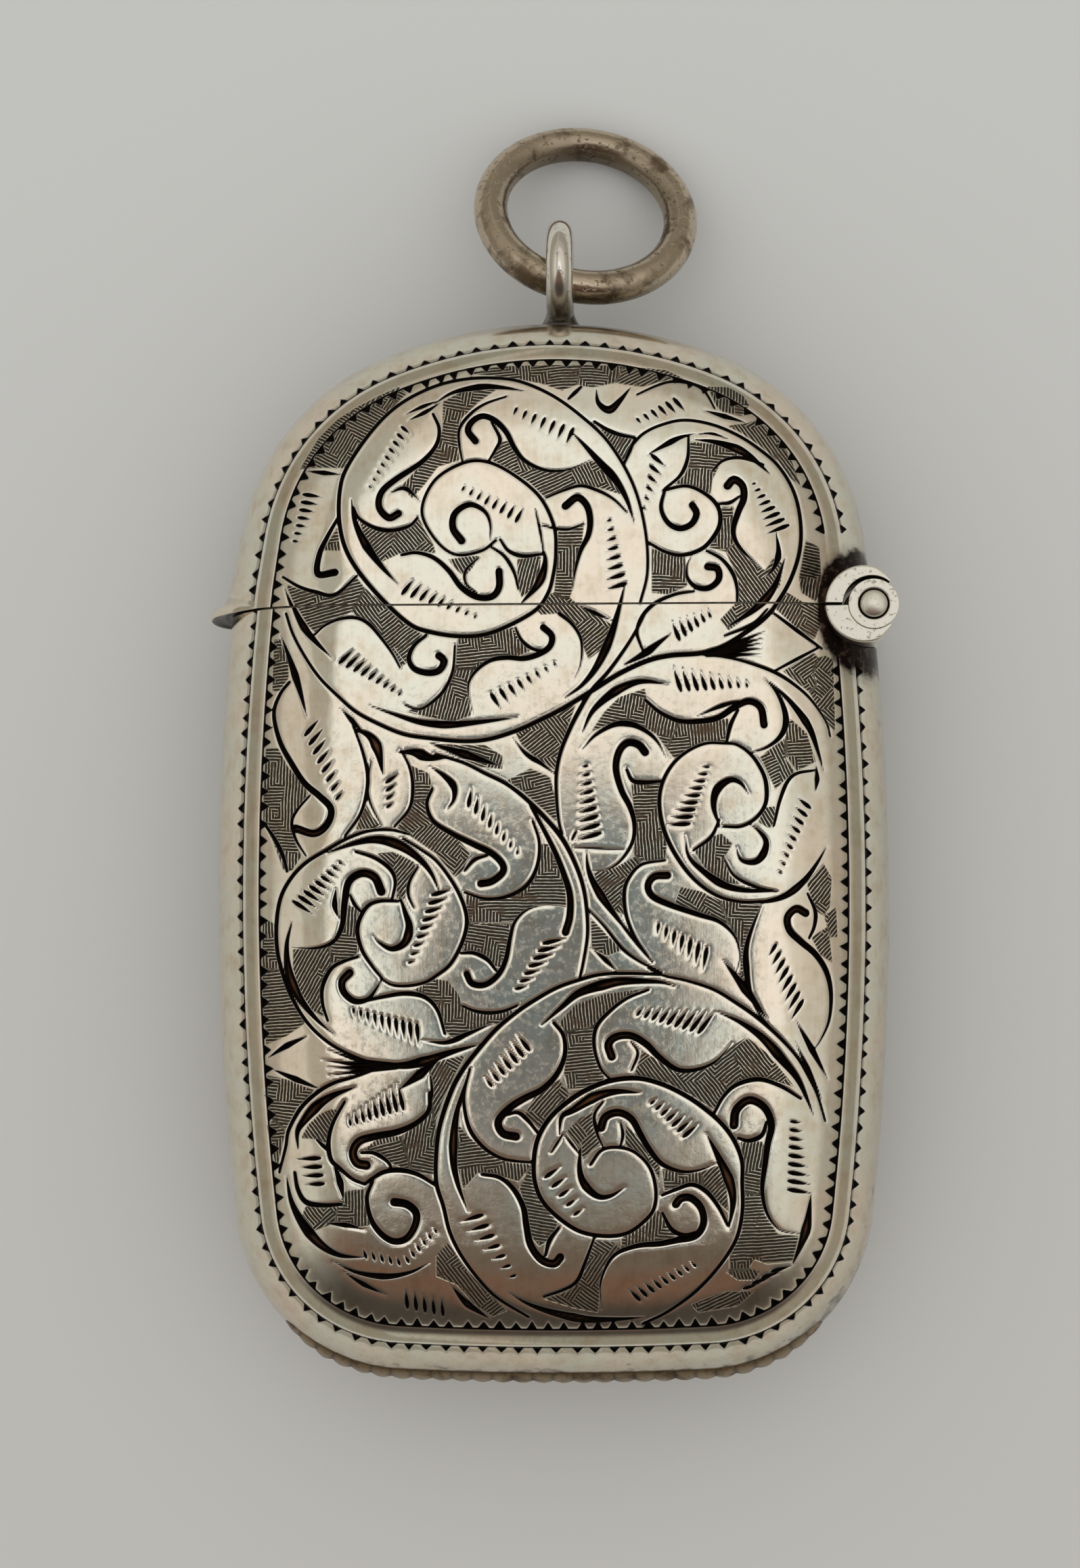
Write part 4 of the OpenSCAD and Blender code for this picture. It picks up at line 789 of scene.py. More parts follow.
        (20, [(7.94, -18.2), (8.5, -17.9), (9.5, -18.2), (9.3, -18.6), (8.5, -18.6)]),
        (25, [(6.35, -19.7), (7.9, -19.1), (9.3, -19.1), (8.5, -19.8), (6.7, -20.1)]),
    ],
    "ticks": [
        ((-1.25, -7.8), (-2.85, -9.6), 7, (.9, .52), 128),
        ((.07, -13.71), (1.25, -15.51), 5, (.8, .48), 35),
        ((4.7, -10.5), (6.39, -11.83), 7, (.35, .85), 40),
        ((6.47, -17.85), (3.78, -19.26), 9, (.38, .75), 135),
        ((-3.62, -15.79), (-1.79, -18.43), 7, (1.05, .38), 197),
        ((11.21, -11.45), (11.39, -14.6), 9, (.52, 1.15), -10),
        ((4.1, -6.4), (7.15, -6.9), 9, (.42, 1.2), 52),
        ((9.1, -18.9), (10.5, -18.1), 4, (.7, .9), 15),
    ],
}
lowerLeftScroll = {
    "cuts": [
        ("line", .2, [(-8, -9), (-8.98, -9.35), (-9.96, -9.64), (-10.74, -10.09), (-11.48, -10.77),
         (-12.07, -11.79), (-12.22, -12.59), (-12.53, -13.75)]),
        ("swell", .5, [(-8.98, -9.84), (-9.95, -10.19), (-10.71, -10.67), (-11.33, -11.35),
         (-11.66, -11.9), (-11.62, -12.68)]),
        ("line", .22, [(-9.45, -10.49), (-9.99, -11.46), (-10.2, -12.32), (-10.08, -13.13),
         (-9.67, -13.53), (-9.09, -14.01), (-8.52, -14.25)]),
        ("hook", .42, [(-5.55, -10.1), (-5.59, -10.9), (-6.18, -11.49), (-7.05, -11.88), (-8.02, -12.07),
         (-8.78, -12.3), (-9.07, -12.81), (-8.88, -13.28), (-8.45, -13.39)]),
        ("line", .2, [(-8.7, -12.82), (-8.08, -12.84), (-7.47, -13.23), (-7.25, -13.65)]),
        ("swell", .44, [(-6.89, -9.9), (-6, -9.25), (-5.1, -8.55)]),
        ("line", .15, [(-5.5, -9.3), (-5.45, -10.2), (-5.69, -10.99)]),
        ("line", .24, [(-8.52, -14.25), (-8.2, -14.01), (-7.62, -13.69), (-6.87, -13.61), (-6.08, -13.81),
         (-5.28, -14.29)]),
        ("hook", .38, [(-8.16, -14.12), (-8.42, -14.87), (-8.23, -15.83), (-7.75, -16.51),
         (-7.17, -16.84), (-6.59, -16.7), (-6.21, -16.12), (-6.16, -15.55), (-6.59, -15.16),
         (-7.17, -15.06)]),
        ("line", .18, [(-10.76, -12.21), (-10.17, -12.78)]),
        ("line", .25, [(-11.78, -13.74), (-11.63, -14.51), (-11.24, -15.08), (-10.45, -15.22),
         (-9.58, -15.16)]),
        ("swell", .34, [(-9.96, -13.34), (-9.67, -14.11), (-9.48, -14.97)]),
        ("swell", .5, [(-12.18, -13.94), (-11.93, -15.09), (-11.34, -16.14), (-10.56, -17),
         (-9.68, -17.48), (-8.62, -17.57)]),
        ("swell", .24, [(-10.35, -16.03), (-9.29, -16.12), (-8.52, -16.31)]),
        ("swell", .3, [(-9.98, -17.77), (-8.91, -18.25), (-7.56, -18.44), (-6.41, -18.24), (-5.54, -17.8)]),
        ("swell", .24, [(-9.5, -18.25), (-8.53, -18.83), (-7.57, -19.27)]),
        ("swell", .34, [(-4.58, -18.82), (-3.92, -19.61), (-3.25, -20.1), (-2.78, -20.4)]),
    ],
    "ground": [
        (90, [(-9.38, -14.58), (-8.52, -14.49), (-8.47, -15.26), (-8.23, -16.12), (-8.9, -16.22),
         (-9.87, -16.13), (-9.77, -15.26)]),
        (40, [(-9.77, -15.26), (-9.87, -16.03), (-10.95, -16.43), (-11.44, -15.76), (-11.24, -15.27),
         (-10.45, -15.36)]),
        (3, [(-13.14, -11.64), (-12.77, -11.31), (-12.23, -11.85), (-12.43, -12.78), (-12.64, -13.66),
         (-12.94, -12.6)]),
        (175, [(-13.15, -9.29), (-12.14, -9.49), (-10.84, -9.99), (-11.67, -10.77), (-12.22, -11.78),
         (-12.93, -11.3), (-13.25, -10.27)]),
        (125, [(-10.12, -10.87), (-9.63, -10.88), (-10.08, -11.56), (-10.28, -12.41), (-10.94, -12.2),
         (-11.47, -12.18), (-11.12, -11.54), (-10.59, -11.07)]),
        (38, [(-5.25, -17.47), (-4.67, -16.89), (-4, -17.95), (-3.05, -19.02), (-2, -20), (-2.68, -20.3),
         (-3.54, -19.71), (-4.3, -18.82), (-5.25, -18.43)]),
    ],
    "ticks": [
        ((-9.22, -11.37), (-6.89, -10.25), 9, (.42, 1.2), 103),
        ((-11.13, -13.1), (-10.84, -14.26), 4, (1.1, .85), 183),
        ((-8.52, -17.37), (-6.98, -17.71), 5, (.5, .45), 110),
        ((-6.6, -17.61), (-5.3, -16.31), 6, (.45, .32), 120),
        ((-6.61, -19.46), (-4.98, -19.86), 5, (.85, .75), 95),
    ],
}


# The drawing is held as distances in mm on a fine square grid over the face: cut is the distance outside
# the nearest cut's edge, ground the distance outside the nearest hatched patch, both no more than far.
drawing = {"left": -16.4, "low": -24, "wide": 32.8, "high": 51, "step": .04, "far": .6, "reach": .5,
           "last": 1.001}
columns, lines = int(drawing["wide"] / drawing["step"]), int(drawing["high"] / drawing["step"])
gridX = drawing["left"] + drawing["step"] * np.arange(columns)
gridY = drawing["low"] + drawing["step"] * np.arange(lines)
cutField, borderField, groundField = (np.full((lines, columns), drawing["far"], np.float32) for _ in range(3))
hatchField = np.zeros((lines, columns, 2), np.float32)
# Shares of a cut's greatest width at its start, middle and end
profiles = {"line": (.6, 1, .6), "swell": (.1, 1, .1), "hook": (.4, .75, 1), "tail": (1, .7, .1)}
# A tick's half width is least + grow x length, up to most, times the shares along it
tick = {"least": .04, "grow": .07, "most": .1, "shares": (.6, 1, .9, .65, .35, .1)}


def window(points, reach):
    lo, hi = points.min(0) - reach, points.max(0) + reach
    j = slice(*np.clip(np.searchsorted(gridX, (lo[0], hi[0])), 0, columns))
    i = slice(*np.clip(np.searchsorted(gridY, (lo[1], hi[1])), 0, lines))
    return i, j, np.stack(np.broadcast_arrays(gridX[j][None, :], gridY[i][:, None]), -1)


# A smooth curve through points: from p1 to p2, with p0 before them and p3 after,
# .5 (2 p1 + (p2 - p0) t + (2 p0 - 5 p1 + 4 p2 - p3) t^2 + (3 p1 - p0 - 3 p2 + p3) t^3)
def curve(points, step=.12):
    p = np.array(points, float)
    p = np.concatenate([[2 * p[0] - p[1]], p, [2 * p[-1] - p[-2]]])
    out = []
    for p0, p1, p2, p3 in zip(p, p[1:], p[2:], p[3:]):
        t = np.linspace(0, 1, max(2, int(np.hypot(*(p2 - p1)) / step)), endpoint=False)[:, None]
        out.append(.5 * (2 * p1 + (p2 - p0) * t + (2 * p0 - 5 * p1 + 4 * p2 - p3) * t ** 2
                         + (3 * p1 - p0 - 3 * p2 + p3) * t ** 3))
    return np.concatenate(out + [p[-2:-1]])


# Each grid point's distance from each segment, its share along the segment and its offset from the start
def toSegments(at, start, v):
    w = at[:, :, None] - start
    t = np.clip((w * v).sum(-1) / (v * v).sum(-1), 0, 1)
    return np.linalg.norm(w - t[..., None] * v, axis=-1), t, w


def carve(points, halves, field=cutField, run=5):
    for k in range(0, len(points) - 1, run):
        p, h = points[k:k + run + 1], halves[k:k + run + 1]
        i, j, at = window(p, drawing["reach"] + h.max())
        d, t, _ = toSegments(at, p[:-1], p[1:] - p[:-1])
        d = d - (h[:-1] + t * (h[1:] - h[:-1]))
        field[i, j] = np.minimum(field[i, j], d.min(-1))


# The distance outside a closed patch's edge, below zero inside it
def patch(points):
    p = np.array(points, float)
    after = np.roll(p, -1, 0)
    i, j, at = window(p, drawing["reach"])
    v = after - p
    d, _, w = toSegments(at, p, v)
    above = (p[:, 1] > at[:, :, None, 1]) != (after[:, 1] > at[:, :, None, 1])
    with np.errstate(divide="ignore", invalid="ignore"):
        crossing = w[..., 0] < v[:, 0] * w[..., 1] / v[:, 1]
    inside = (above & crossing).sum(-1) % 2 == 1
    d = d.min(-1)
    return i, j, np.where(inside, -d, d)


def carveScroll(scroll):
    for kind, wide, points in scroll["cuts"]:
        p = curve(points)
        carve(p, wide / 2 * np.interp(np.linspace(0, 1, len(p)), (0, .5, 1), profiles[kind]))
    shares = np.array(tick["shares"])
    along = np.linspace(-.5, .5, len(shares))[:, None]
    for first, last, count, (long0, long1), angle in scroll["ticks"]:
        share = np.linspace(0, 1, count)[:, None]
        mid = np.array(first) + share * (np.array(last) - first)
        way = direction(np.radians(angle))
        for m, size in zip(mid, long0 + share[:, 0] * (long1 - long0)):
            half = min(tick["most"], tick["least"] + tick["grow"] * size)
            carve(m + along * size * way, half * shares)
    for angle, points in scroll["ground"]:
        i, j, d = patch(points)
        nearer = d < groundField[i, j]
        groundField[i, j] = np.where(nearer, d, groundField[i, j])
        across = direction(np.radians(angle + 90))
        hatchField[i, j] = np.where(nearer[..., None], across, hatchField[i, j])


for scroll in (upperLeftScroll, upperRightScroll, middleRightScroll, middleLeftScroll, lowerScroll,
               lowerLeftScroll):
    carveScroll(scroll)

# Border: a plain band whose middle lies 1.9 + .27 ny^2 - .12 nx mm in, with a fine line and a row of wedge
# cuts (pitch, height, width) along each side. It stops at the hinge: past x, from one height to another.
border = {"inset": 1.9, "ends": .27, "across": -.12, "half": .43, "rise": .03, "line": .09, "outerLine": .6,
          "inner": (.75, .4, .52), "outer": (.85, .32, .52), "hinge": (12.6, 10.1, 15.8), "points": 1200,
          "seed": 7, "shift": .1, "sizes": (.85, 1.15)}


def borderPath(b, shift):
    a = headings(np.pi / 2, -np.pi / 2, np.linspace(0, 1, b["points"]))
    p, n = (np.concatenate([v, (v * (-1, 1))[::-1]]) for v in (outline(a), direction(a)))
    d = b["inset"] + b["ends"] * n[:, 1] ** 2 + b["across"] * n[:, 0] + shift
    return p - d[:, None] * n, n


def carveBorder(b):
    chance = np.random.default_rng(b["seed"])
    x, low, high = b["hinge"]
    for side, (pitch, tall, wide) in ((1, b["inner"]), (-1, b["outer"])):
        p, n = borderPath(b, side * b["half"])
        run = lengths(p)
        free = (p[:, 0] < x) | (p[:, 1] < low) | (p[:, 1] > high)
        half = b["line"] / 2 * (1 if side > 0 else b["outerLine"])
        for k in range(0, len(p) - 1, 4):
            if free[k:k + 5].all():
                carve(p[k:k + 5], np.full(len(p[k:k + 5]), half), borderField)
        count = int(run[-1] / pitch)
        where = (np.arange(count) + chance.uniform(-b["shift"], b["shift"], count)) * run[-1] / count
        size = chance.uniform(*b["sizes"], (count, 2))
        at, out = (np.stack([np.interp(where, run, v[:, k]) for k in (0, 1)], 1) for v in (p, n))
        for q, m, (g, h) in zip(at, unit(out), size):
            if q[0] > x and low < q[1] < high:
                continue
            along = np.array([-m[1], m[0]]) * wide * g / 2
            i, j, d = patch([q - along, q - side * m * tall * h, q + along])
            borderField[i, j] = np.minimum(borderField[i, j], d)


carveBorder(border)
print("drawing carved")


def sample(field, x, y):
    u = np.clip((x - drawing["left"]) / drawing["step"], 0, columns - drawing["last"])
    v = np.clip((y - drawing["low"]) / drawing["step"], 0, lines - drawing["last"])
    j, i = u.astype(int), v.astype(int)
    u, v = u - j, v - i
    if field.ndim == 3:
        u, v = u[..., None], v[..., None]
    return ((1 - v) * ((1 - u) * field[i, j] + u * field[i, j + 1])
            + v * ((1 - u) * field[i + 1, j] + u * field[i + 1, j + 1]))


# Engraved silver: cuts are dark oxide with bright edges, partly burnished metal and partly a painted
# highlight;
# the ground is hatched close and stained, the rest is polished and a little uneven from years of rubbing.
# The hatch is drawn a third coarser than life, to show.
# Lengths are in mm. Spots are a noise (times per mm, detail, roughness) and the two ends of its soft step.
# Relief and roughness are listed in the order in which the material adds them up.
engraved = {
    "silver": "#eddfca", "cool": "#e6e3d1", "worn": "#d9c9b0", "scuffed": "#b3a58e", "burrSheen": "#fffaf2",
    "ground": "#a2967f", "black": "#120e0b", "brown": "#6e4d36", "grimeAndShade": "#1f1815", "rust": "#57453a",
    "slope": .55, "deepest": -.2, "burrWide": .06, "groundDeep": .01, "cutEdge": (-.012, .028),
    "groundEdge": (-.05, .03), "pitch": .15, "cell": 1.05, "turned": .64, "bend": .9, "furrow": (.82, 1.06),
    "wander": (1.1, 2), "fine": (5, 3), "streak": (6, .5, 6), "smear": (1.6, 5),
    "stain": ((1.3, 3), (.56, .7)), "scuff": ((3, 6, .72), (.5, .74)), "tone": ((.22, 2), (.38, .62)),
    "rusty": ((2.5, 4), (.5, .7)), "bare": ((.5, 2), (.4, .6)),
    "wornStep": (.6, 1.05), "grimeAndShadeStep": (.68, 1.2), "floorStep": (-.2, -.11),
    "relief": (-.014, -.02, .0005, .002, .0005, -.0008), "polish": .06, "roughness": (.12, .04, .35, .3),
    "shares": {"ragged": .5, "stain": .8, "streak": .4, "scuff": .24, "burrSheen": .6, "ground": .15, "smear": .9,
               "grimeAndShade": .6, "floor": .45, "furrow": .92}}


def engravedMaterial(e):
    m, tree = newMaterial("engraved silver")
    mm, share = millimetres(tree), e["shares"]
    cut, ground, grimeAndShade = (attribute(tree, name) for name in ("cut", "ground", "grimeAndShade"))
    hatch = attribute(tree, "hatch", "Vector")
    wander, fine = noise(tree, mm, *e["wander"]), noise(tree, mm, *e["fine"])
    stain, scuff = spots(tree, mm, *e["stain"]), spots(tree, mm, *e["scuff"])
    # Hatch lines: a triangle wave across the patch's own direction, turned square to it in some cells
    cell = node(tree, "ShaderNodeTexVoronoi", {"Vector": mm, "Scale": 1 / e["cell"]}).outputs["Color"]
    turned = node(tree, "ShaderNodeSeparateXYZ", {0: cell}).outputs[0]
    turned = calc(tree, "GREATER_THAN", turned, e["turned"])
    square = vector(tree, "CROSS_PRODUCT", hatch, (0, 0, 1))
    line = node(tree, "ShaderNodeMix", {0: turned, 4: hatch, 5: square}, data_type="VECTOR").outputs[1]
    across = calc(tree, "DIVIDE", vector(tree, "DOT_PRODUCT", mm, line, "Value"), e["pitch"])
    across = plus(tree, across, times(tree, wander, e["bend"]))
    wave = times(tree, calc(tree, "PINGPONG", across, .5), 2)
    inCut = ramp(tree, cut, *e["cutEdge"], 1, 0)
    inGround = times(tree, ramp(tree, ground, *e["groundEdge"], 1, 0), less(tree, 1, inCut))
    furrow = ramp(tree, plus(tree, wave, times(tree, fine, share["ragged"])), *e["furrow"], 1, 0)
    furrow = times(tree, larger(tree, furrow, times(tree, stain, share["stain"])), inGround)
    # Height in mm: a V cut with a thin burnished edge, shallow furrows, scuffs and a slow unevenness
    height = node(tree, "ShaderNodeClamp", {0: cut, 1: e["deepest"], 2: 0}).outputs[0]
    height = times(tree, height, e["slope"])
    edge = calc(tree, "EXPONENT", times(tree, larger(tree, cut, 0), -1 / e["burrWide"]))
    streak = noise(tree, vector(tree, "MULTIPLY", mm, e["streak"]), 1)
    for layer, tall in zip((edge, furrow, fine, wander, streak, scuff), e["relief"]):
        height = plus(tree, height, times(tree, layer, tall))
    worn = ramp(tree, plus(tree, wander, times(tree, streak, share["streak"])), *e["wornStep"])
    # Patchy black from the grimeAndShade attribute: tarnish in places, painted shade in others
    smear = times(tree, noise(tree, mm, *e["smear"]), share["smear"])
    patchy = ramp(tree, plus(tree, grimeAndShade, smear), *e["grimeAndShadeStep"])
    patchy = larger(tree, patchy, times(tree, grimeAndShade, share["grimeAndShade"]))
    sootAndShade = blend(tree, spots(tree, mm, *e["rusty"]), colour(e["grimeAndShade"]), colour(e["rust"]))
    # Wide cuts show a brown floor between black edges
    floor = times(tree, ramp(tree, cut, *e["floorStep"], 1, 0), spots(tree, mm, *e["bare"]))
    floor = larger(tree, floor, times(tree, times(tree, stain, inGround), share["floor"]))
    oxide = blend(tree, floor, colour(e["black"]), colour(e["brown"]))
    dark = larger(tree, inCut, times(tree, furrow, share["furrow"]))
    tint = blend(tree, spots(tree, mm, *e["tone"]), colour(e["silver"]), colour(e["cool"]))
    # Over the silver: wear, scuffs, the burr's bright edge (burnished metal with a painted highlight),
    # hatched ground, patchy black (tarnish and painted shade) and oxide
    for cover, layer in ((worn, colour(e["worn"])),
                         (times(tree, scuff, share["scuff"]), colour(e["scuffed"])),
                         (times(tree, edge, share["burrSheen"]), colour(e["burrSheen"])),
                         (times(tree, inGround, share["ground"]), colour(e["ground"])),
                         (patchy, sootAndShade), (dark, oxide)):
        tint = blend(tree, cover, tint, layer)
    rough = e["polish"]
    for layer, more in zip((inGround, fine, dark, grimeAndShade), e["roughness"]):
        rough = plus(tree, rough, times(tree, layer, more))
    closeMetal(tree, tint, rough, height)
    return m


# Plain metals: polish, pits (size, depth), tarnish in patches (size, share) and a slow unevenness, in mm,
# with black where a piece's grimeAndShade attribute says: tarnish in places, painted shade in others
metals = {
    "polished silver": {"bright": "#efe8dc", "dull": "#8d8271", "rough": .12, "pits": (.35, .003),
                        "patches": (3, .1), "uneven": 0},
    "scuffed silver": {"bright": "#f3eee0", "dull": "#8d8271", "rough": .3, "pits": (.22, .008),
                       "patches": (3, 0), "uneven": .025},
    "tarnished silver": {"bright": "#c5b59e", "dull": "#66543f", "rough": .17, "pits": (.3, .026),
                         "patches": (1.6, .3), "uneven": .05},
    "browned silver": {"bright": "#b09b7e", "dull": "#7b6850", "rough": .3, "pits": (.3, .01),
                       "patches": (1.2, .3), "uneven": .02}}
wear = {"pitStep": (.3, .42), "stainStep": (.66, .82), "slow": (.9, 2), "stainShare": .8, "pitShare": .5,
        "stainRough": .15, "grimeAndShadeRough": .3}


def plainMaterial(name, metal):
    m, tree = newMaterial(name)
    mm, grimeAndShade = millimetres(tree), attribute(tree, "grimeAndShade")
    (pitSize, pitDeep), (size, share) = metal["pits"], metal["patches"]
    pits = spots(tree, mm, (1 / pitSize, 3), wear["pitStep"])
    stain = spots(tree, mm, (1 / size, 4, .6), [end - share / 2 for end in wear["stainStep"]])
    slow = times(tree, noise(tree, mm, *wear["slow"]), metal["uneven"])
    height = plus(tree, times(tree, pits, pitDeep), slow)
    dull = colour(metal["dull"])
    tint = blend(tree, times(tree, stain, wear["stainShare"]), colour(metal["bright"]), dull)
    tint = blend(tree, times(tree, less(tree, 1, pits), wear["pitShare"]), tint, dull)
    # Black from the grimeAndShade attribute: tarnish in places, painted shade in others
    tint = blend(tree, grimeAndShade, tint, colour(engraved["grimeAndShade"]))
    rough = plus(tree, metal["rough"], times(tree, stain, wear["stainRough"]))
    rough = plus(tree, rough, times(tree, grimeAndShade, wear["grimeAndShadeRough"]))
    closeMetal(tree, tint, rough, height)
    return m


engravedSilver = engravedMaterial(engraved)
plainSilver, scuffedSilver, tarnishedSilver, brownedSilver = (plainMaterial(*item) for item in metals.items())
print("materials made")

# Shell skins: a four-sided patch between outline curves, points spaced by length over the roll, so that
# P(s, t) = (1-t) bottom(s) + t top(s) + (1-s) left(t) + s right(t) - the corners' blend.
# Lengths over the roll are measured closely in the verge (width, count), then by another count.
skin = {"step": .08, "rimStep": .24, "rim": .95, "backStep": .12, "insideStep": .6, "corner": -.9,
        "shoulder": .75, "verge": (.05, 400), "measures": 6000}


def spaced(total, step, rimStep, bothEnds, w=0):
    verge, count = skin["verge"]
    d = np.concatenate([np.linspace(0, verge, count) ** 2 / verge,
                        np.linspace(verge, total, skin["measures"])[1:]])
    size = np.where(d < skin["rim"], rimStep, step)
    z = roll(d + w, w)[0]
    stretch = np.hypot(np.diff(d), np.diff(z)) / size[1:]
    run = np.concatenate([[0], np.cumsum(stretch)])
    half = np.interp(np.linspace(0, run[-1], int(np.ceil(run[-1])) + 1), run, d) / total
    return np.concatenate([half / 2, 1 - half[-2::-1] / 2]) if bothEnds else half


def mirrored(start, end, share, s, w):
    right = outline(headings(start, end, share, w), w)
    return right * np.stack([np.where(s < .5, -1, 1), np.ones_like(s)], 1)


def seamOf(part):
    return case["bodyTop" if part == "body" else "lidFoot"]


def patchGrid(part, step, rimStep, w=0):
    s, seam = spaced(case["half"] - w, step, rimStep, True, w), seamOf(part)
    seamHeading, reach = np.arcsin(seam / (case["sideR"] - w)), sideX(seam, w)
    line = np.stack([reach * (2 * s - 1), np.full_like(s, seam)], 1)
    out = np.abs(2 * s - 1)
    if part == "body":
        t = spaced(seam + case["base"] - w, step, rimStep, False, w)
        right = outline(headings(seamHeading, skin["corner"], 1 - t, w), w)
        bottom, top = mirrored(skin["corner"], -np.pi / 2, 1 - out, s, w), line
    else:
        t = 1 - spaced(case["crown"] - seam - w, step, rimStep, False, w)[::-1]
        right = outline(headings(skin["shoulder"], seamHeading, 1 - t, w), w)
        bottom, top = line, mirrored(np.pi / 2, skin["shoulder"], out, s, w)
    left, s, t = (right * (-1, 1))[:, None], s[None, :, None], t[:, None, None]
    right = right[:, None]
    return ((1 - t) * bottom + t * top + (1 - s) * left + s * right - (1 - s) * (1 - t) * bottom[0]
            - s * (1 - t) * bottom[-1] - (1 - s) * t * top[0] - s * t * top[-1])


# The hinge's boss stands in a round notch: points inside it near its edge go to the circle
def notched(flat):
    cx, cy, r = case["notch"]
    v = flat - (cx, cy)
    away = np.linalg.norm(v, axis=-1)
    inside = away < r
    wide = np.pad(inside, 1, mode="edge")
    beside = np.zeros_like(inside)
    for i in (0, 1, 2):
        for j in (0, 1, 2):
            beside |= ~wide[i:i + inside.shape[0], j:j + inside.shape[1]]
    near = inside & beside
    flat = np.where(near[..., None], (cx, cy) + v / np.maximum(away, tiny)[..., None] * r, flat)
    faces = gridFaces(*inside.shape)
    return flat, faces[~inside.ravel()[faces].all(1)]


# Darkening, as the grimeAndShade attribute: round the hinge, where it reaches out beside, above and below,
# and is less on the rim; round the loop's foot and in the nook above the hinge (x, y, width, height, share);
# along the base, darker towards the bottom (share, start, height, depth); on the rim (even, by nx, by ny),
# an even tarnish plus painted shade on its right and lower sides, where it fades by depth
tarnishAndShade = {"beside": .45, "above": 1.35, "below": 2, "full": 1.6, "inward": (.3, 1.2),
           "foot": (1.6, 26.8, 4.6, 1.1, .4), "nook": (12.1, 14.1, .6, 1.2, .55), "base": (.27, 17, 4, 1.5),
           "rim": (.15, .16, -.15), "rimFade": (1.3, .9)}


def grimeAndShadeAt(x, y, d, way):
    cx, cy, r = case["notch"]
    away = np.hypot(x - cx, y - cy)
    steep = ((y - cy) / np.maximum(away, tiny)) ** 2
    reach = np.where(y > cy, tarnishAndShade["above"], tarnishAndShade["below"]) - tarnishAndShade["beside"]
    reach = tarnishAndShade["beside"] + steep * reach
    full, (least, deep) = tarnishAndShade["full"], tarnishAndShade["inward"]
    hinge = np.clip(full - full * (away - r) / reach, 0, 1) * np.clip(least + d / deep, 0, 1)
    fx, fy, wide, tall, share = tarnishAndShade["foot"]
    foot = np.exp(-((x - fx) / wide) ** 4 - ((y - fy) / tall) ** 2) * share
    nx, ny, wide, tall, share = tarnishAndShade["nook"]
    hinge = np.maximum(hinge, share * np.exp(-((x - nx) / wide) ** 4 - ((y - ny) / tall) ** 4))
    share, start, tall, deep = tarnishAndShade["base"]
    base = share * np.clip((-y - start) / tall, 0, 1) * np.clip(1 - d / deep, 0, 1)
    # The rim: an even tarnish plus painted shade on its right and lower sides
    even, right, up = tarnishAndShade["rim"]
    rim = even + np.maximum(right * way[..., 0] + up * way[..., 1], 0)
    full, deep = tarnishAndShade["rimFade"]
    return np.clip(hinge + foot + base + rim * np.clip(full - d / deep, 0, 1), 0, 1)


# The lid's free side flares out towards the thumb lip: out exp(-(h / tall)^2) (1 - d / reach)^2 at h above
# its foot
flare = {"out": .36, "tall": 3, "reach": 6}


def flareAt(x, y, d):
    fade = np.clip(1 - d / flare["reach"], 0, 1) ** 2
    return np.where(x < 0, flare["out"] * np.exp(-((y - case["lidFoot"]) / flare["tall"]) ** 2) * fade, 0)


def shellSkin(part, side, step, rimStep, w=0):
    flat, faces = notched(patchGrid(part, step, rimStep, w))
    x, y = flat[..., 0], flat[..., 1]
    d, way = inset(x, y)
    z, slope = roll(d, w)
    normal = np.minimum(slope, case["steepest"])[..., None] * way
    normal = unit(np.concatenate([normal, np.full_like(x, side)[..., None]], -1))
    out = flareAt(x, y, d) if part == "lid" else 0
    points = np.stack([x - out, y, case["mid"] + side * z], -1)
    if w:
        return points, faces, -normal, None
    cut = np.minimum(sample(cutField, side * x, y), sample(borderField, x, y))
    ground = sample(groundField, side * x, y)
    hatch = sample(hatchField, side * x, y) * (side, 1)
    deep = engraved["slope"] * np.clip(cut, engraved["deepest"], 0)
    deep = deep + engraved["relief"][0] * np.exp(-np.maximum(cut, 0) / engraved["burrWide"])
    deep = deep - engraved["groundDeep"] * (ground < 0)
    # The border's band is a little rounded: h (1 - (t / half)^2) at t from its middle
    t = d - border["inset"] - border["ends"] * way[..., 1] ** 2 - border["across"] * way[..., 0]
    t = t / border["half"]
    deep = deep + border["rise"] * np.clip(1 - t ** 2, 0, 1)
    tilt = np.where(np.abs(t) < 1, 2 * border["rise"] / border["half"] * t, 0)[..., None] * way
    normal = unit(normal - np.concatenate([tilt, np.zeros_like(tilt[..., :1])], -1))
    points = points + deep[..., None] * normal
    fields = {"cut": cut, "ground": ground, "grimeAndShade": grimeAndShadeAt(x, y, d, way),
              "hatch": np.concatenate([hatch, np.zeros_like(hatch[..., :1])], -1)}
    return points, faces, normal, fields


# The sheet's edge at the seam: three rows from the outside in, the second a given share out, and their
# painted shade, which darkens the seam
seamEdge = {"share": .75, "body": (.6, .35, .15), "lid": (1, .95, .5)}


